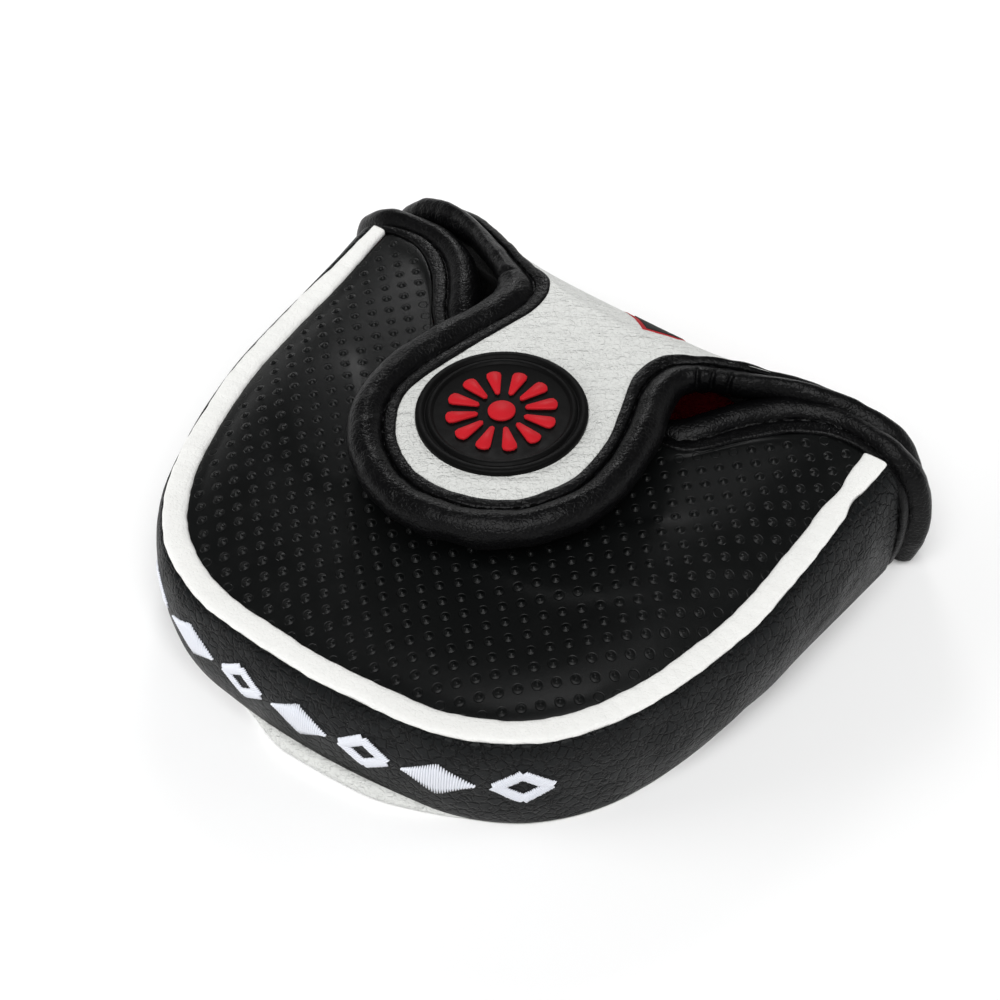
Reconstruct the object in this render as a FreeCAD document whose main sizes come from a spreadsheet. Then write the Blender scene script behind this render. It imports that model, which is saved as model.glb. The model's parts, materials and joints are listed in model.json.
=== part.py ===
"""Putter head cover: a padded D-shaped pouch, a hinged back panel and a magnetic tongue.

Frame: millimetres, +Z up. X runs across the cover, +Y points out of the mouth, the rounded end
is at -Y. The origin lies on the flat sole, under the line that joins the two ends of the piping.
"""
import FreeCAD, Part
import math
import os
import Sketcher

doc = FreeCAD.newDocument("putter_head_cover")

# ---------------------------------------------------------------- driving dimensions
DIMENSIONS = {
    # plan outline of the pouch, on the centreline of the piping
    "rear_depth": 85.7, "rear_radius": 140.8, "corner_radius": 33.2, "side_radius": 98.0,
    "half_width": 54.54, "side_arc_back": 26.2,
    # the pouch stops here, and its front edge is scooped under the tongue
    "mouth_front": 1.5, "scoop_depth": 15.0, "scoop_outer": 43.0, "scoop_inner": 27.0,
    # height of the piping: an arc in the YZ plane, lowest near the rounded end
    "rim_low": 20.74, "rim_low_back": 79.9, "rim_radius": 606.0,
    # crown of the top panel: a second arc in the YZ plane
    "dome_top": 28.35, "dome_top_back": 3.0, "dome_radius": 505.0,
    # layers
    "skin": 1.4, "lining": 0.8, "band_outer": 4.2, "piping_half": 2.2, "piping_proud": 0.6,
    "rim_drop": 1.6, "sole_skin": 1.6, "sole_foam": 2.4, "sole_front": 12.0, "pouch_front": 8.1,
    # mouth binding
    "bind_low": 23.8, "bind_top": 28.8, "bind_shoulder": 30.0, "bind_outer": 61.5, "leg_bottom": 1.9,
    "bind_width": 6.6, "lip_inner": 45.0,
    # back panel
    "wall_out": 12.0, "crown_radius": 12.0, "crown_height": 22.5, "neck_front": 2.0, "gap": 0.15,
    "back_skin": 1.2, "back_foam": 1.7, "back_lining": 0.7, "back_half": 56.5, "wall_bottom": 1.9,
    "shoulder_low": 20.5, "shoulder_high": 31.8, "neck_half": 13.4, "bind_back_in": 1.6,
    "bind_back_out": 2.6, "bind_edge": 4.6,
    # tongue
    "tongue_back": 33.5, "tongue_radius": 18.8, "tongue_foam": 3.4, "tongue_lining": 0.8,
    "roll_radius": 27.0, "roll_neck": 19.5, "roll_top": 36.2,
    # badge
    "badge_back": 32.0, "badge_radius": 15.0, "badge_base": 1.3, "badge_rim": 1.9, "badge_field": 12.6,
    "ray_tip": 9.6, "ray_root": 3.6, "ray_half": 1.0, "emblem_thick": 0.5, "ray_count": 12,
    # magnets
    "magnet_radius": 7.5, "magnet_thick": 1.8, "pouch_wall": 0.5, "body_magnet_low": 22.9,
    "tongue_magnet_low": 30.6, "magnet_back": 34.0,
    # embroidery on the rounded end
    "motif_count": 7, "motif_pitch": 12.7, "motif_wide": 10.5, "motif_high": 7.5, "motif_centre": 10.2,
    "motif_sides": 6, "thread_thick": 0.4,
    # patch on the crown
    "patch_left": 0.0, "patch_right": 12.5, "patch_bottom": 8.0, "patch_top": 33.4, "patch_thick": 0.5,
    # far outside every piece, for cutting tools
    "far": 150.0,
}

sheet = doc.addObject("Spreadsheet::Sheet", "dims")
for row, (alias, value) in enumerate(DIMENSIONS.items(), start=1):
    sheet.set(f"A{row}", alias)
    sheet.set(f"B{row}", str(value))
    sheet.setAlias(f"B{row}", alias)
doc.recompute()

pieces = []


# ---------------------------------------------------------------- sketch helpers
def dim(alias):
    """One driving dimension as a number."""
    return float(sheet.get(alias))


def value_of(expression):
    """The present value of an expression over the spreadsheet."""
    return float(sheet.evalExpression(expression))


def plane_sketch(body, name, role, height=None):
    """An empty sketch on one of the body's own origin planes, raised by an expression if given."""
    sketch = body.newObject("Sketcher::SketchObject", name)
    plane = next(item for item in body.Origin.OriginFeatures if item.Role == role)
    sketch.AttachmentSupport = [(plane, "")]
    sketch.MapMode = "FlatFace"
    if height is not None:
        lift = FreeCAD.Vector(0, 0, value_of(height))
        sketch.AttachmentOffset = FreeCAD.Placement(lift, FreeCAD.Rotation())
        sketch.setExpression(".AttachmentOffset.Base.z", height)
    return sketch


def bind(sketch, kind, where, expression):
    """Add one dimensional constraint and tie it to the spreadsheet."""
    index = sketch.addConstraint(Sketcher.Constraint(kind, *where, value_of(expression)))
    sketch.setExpression(f"Constraints[{index}]", expression)


def polygon(body, name, role, corners, height=None):
    """A closed outline of straight edges through corners given as pairs of expressions."""
    sketch = plane_sketch(body, name, role, height)
    points = [FreeCAD.Vector(value_of(across), value_of(up), 0) for across, up in corners]
    for index, point in enumerate(points):
        sketch.addGeometry(Part.LineSegment(point, points[(index + 1) % len(points)]), False)
    for index, (across, up) in enumerate(corners):
        sketch.addConstraint(Sketcher.Constraint("Coincident", index, 2, (index + 1) % len(points), 1))
        bind(sketch, "DistanceX", (index, 1), across)
        bind(sketch, "DistanceY", (index, 1), up)
    return sketch


def arc(centre, radius, start, end):
    """A circular arc in the sketch plane, angles in degrees, anticlockwise."""
    circle = Part.Circle(FreeCAD.Vector(*centre, 0), FreeCAD.Vector(0, 0, 1), radius)
    return Part.ArcOfCircle(circle, math.radians(start), math.radians(end))


def segment(start, end):
    """A straight edge in the sketch plane."""
    return Part.LineSegment(FreeCAD.Vector(*start, 0), FreeCAD.Vector(*end, 0))


def outline_arcs(offset):
    """Rear, corner and side arcs as (x, y, radius), and the angles in degrees where they meet."""
    rear = value_of(f"dims.rear_radius + ({offset})")
    corner = value_of(f"dims.corner_radius + ({offset})")
    side = value_of(f"dims.side_radius + ({offset})")
    rear_y = value_of("dims.rear_radius - dims.rear_depth")
    side_x = value_of("dims.half_width - dims.side_radius")
    side_y = -dim("side_arc_back")
    # the corner's centre is at known distances from the two neighbouring centres
    to_rear = rear - corner
    to_side = side - corner
    span = math.hypot(side_x, side_y - rear_y)
    along = (to_rear ** 2 - to_side ** 2 + span ** 2) / (2 * span)
    out = math.sqrt(to_rear ** 2 - along ** 2)
    dir_x = side_x / span
    dir_y = (side_y - rear_y) / span
    corner_x = dir_x * along - dir_y * out
    corner_y = rear_y + dir_y * along + dir_x * out
    turn = math.degrees(math.atan2(corner_x, rear_y - corner_y))
    reach = math.degrees(math.atan2(corner_y - side_y, corner_x - side_x))
    return (0.0, rear_y, rear), (corner_x, corner_y, corner), (side_x, side_y, side), turn, reach


def d_outline(body, name, offset, front, height=None):
    """The pouch's plan outline, offset outwards from the piping and closed at y = front."""
    rear_arc, corner_arc, side_arc, turn, reach = outline_arcs(offset)
    rear_y, rear = rear_arc[1:]
    corner_x, corner_y, corner = corner_arc
    side_x, side_y, side = side_arc
    half = side_x + side
    end = value_of(front)
    sketch = plane_sketch(body, name, "XY_Plane", height)
    sketch.addGeometry(arc((0, rear_y), rear, 270 - turn, 270 + turn), False)
    sketch.addGeometry(arc((corner_x, corner_y), corner, 270 + turn, 360 + reach), False)
    sketch.addGeometry(arc((side_x, side_y), side, reach, 0), False)
    sketch.addGeometry(segment((half, side_y), (half, end)), False)
    sketch.addGeometry(segment((half, end), (-half, end)), False)
    sketch.addGeometry(segment((-half, end), (-half, side_y)), False)
    sketch.addGeometry(arc((-side_x, side_y), side, 180, 180 - reach), False)
    sketch.addGeometry(arc((-corner_x, corner_y), corner, 180 - reach, 270 - turn), False)
    for first, first_end, second, second_end in ((0, 2, 1, 1), (1, 2, 2, 1), (2, 2, 3, 1),
                                                 (5, 2, 6, 1), (6, 2, 7, 1), (7, 2, 0, 1)):
        sketch.addConstraint(Sketcher.Constraint("Tangent", first, first_end, second, second_end))
    for first, second in ((3, 4), (4, 5)):
        sketch.addConstraint(Sketcher.Constraint("Coincident", first, 2, second, 1))
    for line in (3, 5):
        sketch.addConstraint(Sketcher.Constraint("Vertical", line))
    sketch.addConstraint(Sketcher.Constraint("Horizontal", 4))
    bind(sketch, "DistanceX", (0, 3), "0")
    bind(sketch, "DistanceY", (0, 3), "dims.rear_radius - dims.rear_depth")
    bind(sketch, "Radius", (0,), f"dims.rear_radius + ({offset})")
    for geometry in (1, 7):
        bind(sketch, "Radius", (geometry,), f"dims.corner_radius + ({offset})")
    for geometry in (2, 6):
        bind(sketch, "Radius", (geometry,), f"dims.side_radius + ({offset})")
        bind(sketch, "DistanceY", (geometry, 3), "-dims.side_arc_back")
    bind(sketch, "DistanceX", (3, 2), f"dims.half_width + ({offset})")
    bind(sketch, "DistanceX", (5, 1), f"-dims.half_width - ({offset})")
    bind(sketch, "DistanceY", (4, 1), front)
    return sketch


def keyhole(body, name, radius, half_neck, height):
    """The tongue's outline: a round end and a straight neck up to the hinge line."""
    around = value_of(radius)
    half = value_of(half_neck)
    centre_y = -dim("tongue_back")
    front = value_of("-dims.neck_front - dims.gap")
    lean = math.degrees(math.acos(half / around))
    join = centre_y + around * math.sin(math.radians(lean))
    sketch = plane_sketch(body, name, "XY_Plane", height)
    sketch.addGeometry(arc((0, centre_y), around, 180 - lean, 360 + lean), False)
    sketch.addGeometry(segment((half, join), (half, front)), False)
    sketch.addGeometry(segment((half, front), (-half, front)), False)
    sketch.addGeometry(segment((-half, front), (-half, join)), False)
    for first, second in ((0, 1), (1, 2), (2, 3), (3, 0)):
        sketch.addConstraint(Sketcher.Constraint("Coincident", first, 2, second, 1))
    for line in (1, 3):
        sketch.addConstraint(Sketcher.Constraint("Vertical", line))
    sketch.addConstraint(Sketcher.Constraint("Horizontal", 2))
    bind(sketch, "DistanceX", (0, 3), "0")
    bind(sketch, "DistanceY", (0, 3), "-dims.tongue_back")
    bind(sketch, "Radius", (0,), radius)
    bind(sketch, "DistanceX", (1, 1), half_neck)
    bind(sketch, "DistanceX", (3, 1), f"-{half_neck}")
    bind(sketch, "DistanceY", (2, 1), "-dims.neck_front - dims.gap")
    return sketch


def bent_profile(body, name, outside, inside, bottom):
    """A strip in the YZ plane that rises as the back wall and bends over the crown to the neck."""
    centre_y = value_of("dims.wall_out - dims.crown_radius")
    centre_z = dim("crown_height")
    outer = value_of(outside)
    inner = value_of(inside)
    low = value_of(bottom)
    neck = value_of("-dims.neck_front + dims.gap")
    sketch = plane_sketch(body, name, "YZ_Plane")
    sketch.addGeometry(segment((centre_y + outer, low), (centre_y + outer, centre_z)), False)
    sketch.addGeometry(arc((centre_y, centre_z), outer, 0, 90), False)
    sketch.addGeometry(segment((centre_y, centre_z + outer), (neck, centre_z + outer)), False)
    sketch.addGeometry(segment((neck, centre_z + outer), (neck, centre_z + inner)), False)
    sketch.addGeometry(segment((neck, centre_z + inner), (centre_y, centre_z + inner)), False)
    sketch.addGeometry(arc((centre_y, centre_z), inner, 0, 90), False)
    sketch.addGeometry(segment((centre_y + inner, centre_z), (centre_y + inner, low)), False)
    sketch.addGeometry(segment((centre_y + inner, low), (centre_y + outer, low)), False)
    for first, first_end, second, second_end in ((0, 2, 1, 1), (1, 2, 2, 1), (4, 2, 5, 2), (5, 1, 6, 1)):
        sketch.addConstraint(Sketcher.Constraint("Tangent", first, first_end, second, second_end))
    for first, second in ((2, 3), (3, 4), (6, 7), (7, 0)):
        sketch.addConstraint(Sketcher.Constraint("Coincident", first, 2, second, 1))
    for line in (0, 3, 6):
        sketch.addConstraint(Sketcher.Constraint("Vertical", line))
    for line in (2, 4, 7):
        sketch.addConstraint(Sketcher.Constraint("Horizontal", line))
    for geometry, radius in ((1, outside), (5, inside)):
        bind(sketch, "DistanceX", (geometry, 3), "dims.wall_out - dims.crown_radius")
        bind(sketch, "DistanceY", (geometry, 3), "dims.crown_height")
        bind(sketch, "Radius", (geometry,), radius)
    bind(sketch, "DistanceY", (7, 1), bottom)
    bind(sketch, "DistanceX", (3, 1), "-dims.neck_front + dims.gap")
    return sketch


def arc_region(body, name, centre, radius, limit):
    """The region of the YZ plane between an arc and the horizontal line z = limit."""
    centre_y = value_of(centre[0])
    centre_z = value_of(centre[1])
    around = value_of(radius)
    level = value_of(limit)
    reach = dim("far")
    lean = math.degrees(math.asin((reach + centre_y) / around))
    lead = math.degrees(math.asin((reach - centre_y) / around))
    sketch = plane_sketch(body, name, "YZ_Plane")
    if centre_z > 0:
        sketch.addGeometry(arc((centre_y, centre_z), around, 270 - lean, 270 + lead), False)
        left, right = 1, 2
    else:
        sketch.addGeometry(arc((centre_y, centre_z), around, 90 - lead, 90 + lean), False)
        left, right = 2, 1
    depth_left = math.copysign(around * math.cos(math.radians(lean)), -centre_z)
    depth_right = math.copysign(around * math.cos(math.radians(lead)), -centre_z)
    sketch.addGeometry(segment((reach, centre_z + depth_right), (reach, level)), False)
    sketch.addGeometry(segment((reach, level), (-reach, level)), False)
    sketch.addGeometry(segment((-reach, level), (-reach, centre_z + depth_left)), False)
    sketch.addConstraint(Sketcher.Constraint("Coincident", 0, right, 1, 1))
    sketch.addConstraint(Sketcher.Constraint("Coincident", 1, 2, 2, 1))
    sketch.addConstraint(Sketcher.Constraint("Coincident", 2, 2, 3, 1))
    sketch.addConstraint(Sketcher.Constraint("Coincident", 3, 2, 0, left))
    for line in (1, 3):
        sketch.addConstraint(Sketcher.Constraint("Vertical", line))
    sketch.addConstraint(Sketcher.Constraint("Horizontal", 2))
    bind(sketch, "DistanceX", (0, 3), centre[0])
    bind(sketch, "DistanceY", (0, 3), centre[1])
    bind(sketch, "Radius", (0,), radius)
    bind(sketch, "DistanceX", (1, 1), "dims.far")
    bind(sketch, "DistanceX", (3, 1), "-dims.far")
    bind(sketch, "DistanceY", (2, 1), limit)
    return sketch


# ---------------------------------------------------------------- feature helpers
def new_body(name):
    """A body whose label is the piece's file name."""
    body = doc.addObject("PartDesign::Body", name)
    body.Label = name
    return body


def pad(body, profile, length, both_ways=False):
    """Pad a sketch along its normal, or by half the length each way."""
    feature = body.newObject("PartDesign::Pad", f"{profile.Name}_pad")
    feature.Profile = profile
    feature.SideType = "Symmetric" if both_ways else "One side"
    feature.setExpression("Length", length)
    doc.recompute()
    return feature


def cut(body, profile, depth="4 * dims.far"):
    """Remove a sketch's region from the body, both ways, and insist that something went."""
    before = body.Shape.Volume
    feature = body.newObject("PartDesign::Pocket", f"{profile.Name}_cut")
    feature.Profile = profile
    feature.SideType = "Symmetric"
    feature.setExpression("Length", depth)
    doc.recompute()
    if not body.Shape.Volume < before:
        raise RuntimeError(f"{feature.Name} cuts nothing")
    return feature


RIM_CENTRE = ("-dims.rim_low_back", "dims.rim_low + dims.rim_radius")
DOME_CENTRE = ("-dims.dome_top_back", "dims.dome_top - dims.dome_radius")


def cut_above_rim(body, rise):
    """Trim a body to a height above the piping's line."""
    radius = f"dims.rim_radius - ({rise})"
    cut(body, arc_region(body, f"{body.Name}_above_rim", RIM_CENTRE, radius, "dims.far"))


def cut_below_rim(body, rise):
    """Remove everything lower than a height above the piping's line."""
    radius = f"dims.rim_radius - ({rise})"
    cut(body, arc_region(body, f"{body.Name}_below_rim", RIM_CENTRE, radius, "-dims.far"))


def cut_above_dome(body, drop):
    """Trim a body to a depth below the top panel's crown."""
    radius = f"dims.dome_radius - ({drop})"
    cut(body, arc_region(body, f"{body.Name}_above_dome", DOME_CENTRE, radius, "dims.far"))


def cut_front_of_seam(body):
    """Cut a top layer back to the scooped line where the mouth binding is sewn on."""
    corners = [("-dims.far", "dims.mouth_front"), ("-dims.scoop_outer", "dims.mouth_front"),
               ("-dims.scoop_inner", "-dims.scoop_depth"), ("dims.scoop_inner", "-dims.scoop_depth"),
               ("dims.scoop_outer", "dims.mouth_front"), ("dims.far", "dims.mouth_front"),
               ("dims.far", "dims.far"), ("-dims.far", "dims.far")]
    cut(body, polygon(body, f"{body.Name}_seam", "XY_Plane", corners))


def finish_piece(piece):
    """Keep a finished object for export."""
    pieces.append(piece)
    return piece


def boolean(kind, name, base, tool):
    """A boolean of two objects as a piece of its own."""
    result = doc.addObject(f"Part::{kind}", name)
    result.Label = name
    result.Base = base
    result.Tool = tool
    return result


def disc(name, radius, back, low, thick):
    """A flat round solid on the centre plane."""
    body = new_body(name)
    sketch = plane_sketch(body, f"{name}_circle", "XY_Plane", low)
    centre = FreeCAD.Vector(0, value_of(back), 0)
    sketch.addGeometry(Part.Circle(centre, FreeCAD.Vector(0, 0, 1), value_of(radius)), False)
    bind(sketch, "DistanceX", (0, 3), "0")
    bind(sketch, "DistanceY", (0, 3), back)
    bind(sketch, "Radius", (0,), radius)
    pad(body, sketch, thick)
    return body


# ---------------------------------------------------------------- pouch: sole, band, piping, top
def d_slab(name, offset, front, low, thick):
    """A flat layer with the pouch's outline."""
    body = new_body(name)
    pad(body, d_outline(body, f"{name}_plan", offset, front, low), thick)
    return body


def band_layer(name, outside, inside, low, rise):
    """One upright layer of the side band, open at the mouth and trimmed under the piping."""
    body = new_body(name)
    pad(body, d_outline(body, f"{name}_outer", outside, "dims.mouth_front", low), "dims.far / 2")
    cut(body, d_outline(body, f"{name}_inner", inside, "dims.far"))
    cut_above_rim(body, rise)
    return finish_piece(body)


finish_piece(d_slab("sole_leather", "dims.band_outer", "dims.sole_front", "0", "dims.sole_skin"))
finish_piece(d_slab("sole_foam", "-dims.lining / 2", "dims.pouch_front", "dims.sole_skin", "dims.sole_foam"))
finish_piece(d_slab("sole_lining", "-dims.lining / 2", "dims.pouch_front",
                    "dims.sole_skin + dims.sole_foam", "dims.lining"))

band_layer("band_leather", "dims.band_outer", "(dims.band_outer - dims.skin)", "dims.sole_skin",
           "-dims.rim_drop / 4")
band_layer("band_foam", "(dims.band_outer - dims.skin)", "dims.lining / 2", "dims.sole_skin", "-dims.rim_drop")
band_layer("band_lining", "dims.lining / 2", "-dims.lining / 2", "dims.sole_skin", "-dims.rim_drop")

piping = new_body("piping")
piping_plan = d_outline(piping, "piping_outer", "(dims.band_outer - dims.skin)", "dims.mouth_front", "0")
pad(piping, piping_plan, "dims.far / 2")
cut(piping, d_outline(piping, "piping_inner", "-dims.piping_half", "dims.far"))
cut_above_rim(piping, "dims.piping_proud")
cut_below_rim(piping, "-dims.rim_drop")
finish_piece(piping)

top_lining = new_body("top_lining")
top_plan = d_outline(top_lining, "top_lining_plan", "-dims.lining / 2", "dims.mouth_front", "0")
pad(top_lining, top_plan, "dims.far / 2")
cut_above_rim(top_lining, "-dims.rim_drop")
cut_below_rim(top_lining, "-dims.rim_drop - dims.lining")
cut_front_of_seam(top_lining)
finish_piece(top_lining)

foam_blank = new_body("top_foam_blank")
foam_plan = d_outline(foam_blank, "top_foam_plan", "-dims.piping_half - dims.skin", "dims.mouth_front", "0")
pad(foam_blank, foam_plan, "dims.far / 2")
cut_above_dome(foam_blank, "dims.skin")
cut_below_rim(foam_blank, "-dims.rim_drop")
cut_front_of_seam(foam_blank)

leather_blank = new_body("top_leather_blank")
leather_plan = d_outline(leather_blank, "top_leather_plan", "-dims.piping_half", "dims.mouth_front", "0")
pad(leather_blank, leather_plan, "dims.far / 2")
cut_above_dome(leather_blank, "0")
cut_below_rim(leather_blank, "-dims.rim_drop")
cut_front_of_seam(leather_blank)

finish_piece(boolean("Cut", "top_leather", leather_blank, foam_blank))

# ---------------------------------------------------------------- magnets in their fabric pouches
def magnet_set(prefix, low):
    """A disc magnet, the pouch sewn round it, and the solid that both take up."""
    magnet = disc(f"{prefix}_magnet", "dims.magnet_radius", "-dims.magnet_back", f"({low})",
                  "dims.magnet_thick")
    blank = disc(f"{prefix}_pouch_blank", "dims.magnet_radius + dims.pouch_wall", "-dims.magnet_back",
                 f"({low}) - dims.pouch_wall", "dims.magnet_thick + 2 * dims.pouch_wall")
    finish_piece(magnet)
    finish_piece(boolean("Cut", f"{prefix}_magnet_pouch", blank, magnet))
    return blank


body_pouch = magnet_set("body", "dims.body_magnet_low")
finish_piece(boolean("Cut", "top_foam", foam_blank, body_pouch))

# ---------------------------------------------------------------- binding round the mouth
binding = new_body("mouth_binding")
ring_corners = [("-dims.bind_outer", "dims.mouth_front"), ("-dims.scoop_outer", "dims.mouth_front"),
                ("-dims.scoop_inner", "-dims.scoop_depth"), ("dims.scoop_inner", "-dims.scoop_depth"),
                ("dims.scoop_outer", "dims.mouth_front"), ("dims.bind_outer", "dims.mouth_front"),
                ("dims.bind_outer", "dims.mouth_front + dims.bind_width"),
                ("dims.scoop_outer - dims.bind_width / 2", "dims.mouth_front + dims.bind_width"),
                ("dims.scoop_inner - dims.bind_width / 2", "dims.bind_width - dims.scoop_depth"),
                ("-dims.scoop_inner + dims.bind_width / 2", "dims.bind_width - dims.scoop_depth"),
                ("-dims.scoop_outer + dims.bind_width / 2", "dims.mouth_front + dims.bind_width"),
                ("-dims.bind_outer", "dims.mouth_front + dims.bind_width")]
pad(binding, polygon(binding, "mouth_ring", "XY_Plane", ring_corners, "dims.bind_low"),
    "dims.bind_top - dims.bind_low")
for side, sign in (("left", "-"), ("right", "")):
    leg_corners = [(f"{sign}(dims.half_width - dims.lining / 2)", "dims.mouth_front"),
                   (f"{sign}dims.bind_outer", "dims.mouth_front"),
                   (f"{sign}dims.bind_outer", "dims.pouch_front"),
                   (f"{sign}(dims.half_width - dims.lining / 2)", "dims.pouch_front")]
    pad(binding, polygon(binding, f"mouth_leg_{side}", "XY_Plane", leg_corners, "dims.leg_bottom"),
        "dims.bind_shoulder - dims.leg_bottom")
    lip_corners = [(f"{sign}dims.lip_inner", "dims.mouth_front"),
                   (f"{sign}dims.bind_outer", "dims.mouth_front"),
                   (f"{sign}dims.bind_outer", "dims.pouch_front"),
                   (f"{sign}dims.lip_inner", "dims.pouch_front")]
    pad(binding, polygon(binding, f"mouth_lip_{side}", "XY_Plane", lip_corners, "dims.bind_low"),
        "dims.bind_shoulder - dims.bind_low")
finish_piece(binding)


# ---------------------------------------------------------------- embroidery on the rounded end
def rear_outline_point(distance):
    """Point and outward angle on the band's outer face, a distance along it from the centre."""
    rear_arc, corner_arc, _, turn, _ = outline_arcs("dims.band_outer")
    length = abs(distance)
    rear_length = rear_arc[2] * math.radians(turn)
    if length <= rear_length:
        angle = length / rear_arc[2]
        centre_x, centre_y, around = rear_arc
    else:
        angle = math.radians(turn) + (length - rear_length) / corner_arc[2]
        centre_x, centre_y, around = corner_arc
    x = centre_x + around * math.sin(angle)
    y = centre_y - around * math.cos(angle)
    return math.copysign(x, distance), y, math.degrees(math.copysign(angle, distance))


thread_ring = new_body("thread_ring")
pad(thread_ring, d_outline(thread_ring, "thread_outer", "(dims.band_outer + dims.thread_thick)",
                           "dims.mouth_front", "dims.motif_centre - dims.motif_high / 2"), "dims.motif_high")
cut(thread_ring, d_outline(thread_ring, "thread_inner", "dims.band_outer", "dims.far"))

lozenges = []
motif_count = int(dim("motif_count"))
for index in range(motif_count):
    offset_along = (index - (motif_count - 1) / 2) * dim("motif_pitch")
    x, y, angle = rear_outline_point(offset_along)
    lozenge = doc.addObject("Part::Prism", f"lozenge_{index}")
    lozenge.Polygon = int(dim("motif_sides"))
    lozenge.setExpression("Circumradius", "dims.motif_wide / 2")
    lozenge.setExpression("Height", "4 * dims.thread_thick + 2 * dims.skin")
    outward = FreeCAD.Rotation(FreeCAD.Vector(0, 0, 1), angle) * FreeCAD.Rotation(FreeCAD.Vector(1, 0, 0), 90)
    start = FreeCAD.Vector(x, y, dim("motif_centre")) - outward.multVec(FreeCAD.Vector(0, 0, dim("skin")))
    lozenge.Placement = FreeCAD.Placement(start, outward)
    lozenges.append(lozenge)
motif_group = doc.addObject("Part::MultiFuse", "motif_group")
motif_group.Shapes = lozenges
finish_piece(boolean("Common", "rear_embroidery", thread_ring, motif_group))


# ---------------------------------------------------------------- back panel, bent over the crown
def shoulder_corners(spread):
    """Right-hand corners, low to high, of the back panel's outline, grown by an expression."""
    return [(f"(dims.back_half + {spread})", f"dims.shoulder_low + {spread}"),
            (f"(dims.neck_half + {spread})", f"dims.shoulder_high + {spread} / 2"),
            (f"(dims.neck_half + {spread})", "dims.far")]


def outside_outline(spread, side):
    """The region beyond the back panel's outline on one side."""
    shoulder = shoulder_corners(spread)
    corners = [("dims.far", shoulder[0][1])] + shoulder + [("dims.far", "dims.far")]
    return [(f"{side}{across}", up) for across, up in corners]


def inside_outline(spread):
    """The region within the back panel's outline, open at the bottom and at the neck."""
    shoulder = shoulder_corners(spread)
    right = [(shoulder[0][0], "-dims.far")] + shoulder
    left = [(f"-{across}", up) for across, up in reversed(right)]
    return right + left


def back_layer(name, outside, inside):
    """One layer of the back panel: wall, crown and neck in one bent sheet."""
    body = new_body(name)
    pad(body, bent_profile(body, f"{name}_profile", outside, inside, "dims.wall_bottom"),
        "2 * dims.back_half", both_ways=True)
    for side, sign in (("left", "-"), ("right", "")):
        cut(body, polygon(body, f"{name}_{side}_shoulder", "XZ_Plane", outside_outline("0", sign)))
    return finish_piece(body)


back_layer("back_leather", "dims.crown_radius", "dims.crown_radius - dims.back_skin")
back_layer("back_foam", "dims.crown_radius - dims.back_skin",
           "dims.crown_radius - dims.back_skin - dims.back_foam")
back_layer("back_lining", "dims.crown_radius - dims.back_skin - dims.back_foam",
           "dims.crown_radius - dims.back_skin - dims.back_foam - dims.back_lining")

for side, sign, other in (("left", "-", ""), ("right", "", "-")):
    roll = new_body(f"back_binding_{side}")
    pad(roll, bent_profile(roll, f"{side}_roll_profile", "dims.crown_radius + dims.bind_back_out",
                           "dims.crown_radius - dims.bind_back_in", "dims.wall_bottom"),
        "2 * (dims.back_half + dims.bind_edge)", both_ways=True)
    cut(roll, polygon(roll, f"{side}_roll_outside", "XZ_Plane", outside_outline("dims.bind_edge", sign)))
    cut(roll, polygon(roll, f"{side}_roll_inside", "XZ_Plane", inside_outline("0")))
    far_half = [("0", "-dims.far"), (f"{other}dims.far", "-dims.far"), (f"{other}dims.far", "dims.far"),
                ("0", "dims.far")]
    cut(roll, polygon(roll, f"{side}_roll_far_half", "XZ_Plane", far_half))
    finish_piece(roll)

patch = new_body("back_patch")
pad(patch, bent_profile(patch, "patch_profile", "dims.crown_radius + dims.patch_thick", "dims.crown_radius",
                        "dims.patch_bottom"), "2 * dims.patch_right", both_ways=True)
patch_trim = [("dims.patch_left", "-dims.far"), ("dims.patch_left", "dims.far"),
              ("-dims.far", "dims.far"), ("-dims.far", "-dims.far")]
cut(patch, polygon(patch, "patch_side", "XZ_Plane", patch_trim))
patch_head = [("-dims.far", "dims.patch_top"), ("dims.far", "dims.patch_top"),
              ("dims.far", "dims.far"), ("-dims.far", "dims.far")]
cut(patch, polygon(patch, "patch_head", "XZ_Plane", patch_head))
finish_piece(patch)

# ---------------------------------------------------------------- tongue
CROWN_TOP = "dims.crown_height + dims.crown_radius"
TONGUE_FOAM_TOP = f"{CROWN_TOP} - dims.back_skin"
TONGUE_FOAM_LOW = f"{TONGUE_FOAM_TOP} - dims.tongue_foam"
TONGUE_LOW = f"{TONGUE_FOAM_LOW} - dims.tongue_lining"


def tongue_layer(name, low, thick):
    """One flat layer of the tongue."""
    body = new_body(name)
    pad(body, keyhole(body, f"{name}_plan", "dims.tongue_radius", "dims.neck_half", low), thick)
    return body


finish_piece(tongue_layer("flap_leather", TONGUE_FOAM_TOP, "dims.back_skin"))
tongue_foam = tongue_layer("flap_foam_blank", TONGUE_FOAM_LOW, "dims.tongue_foam")
finish_piece(tongue_layer("flap_lining", TONGUE_LOW, "dims.tongue_lining"))
flap_pouch = magnet_set("flap", "dims.tongue_magnet_low")
finish_piece(boolean("Cut", "flap_foam", tongue_foam, flap_pouch))

roll = new_body("flap_binding")
pad(roll, keyhole(roll, "roll_outer", "dims.roll_radius", "dims.roll_neck", TONGUE_LOW),
    f"dims.roll_top - ({TONGUE_LOW})")
cut(roll, keyhole(roll, "roll_inner", "dims.tongue_radius", "dims.neck_half", "0"))
finish_piece(roll)

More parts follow.
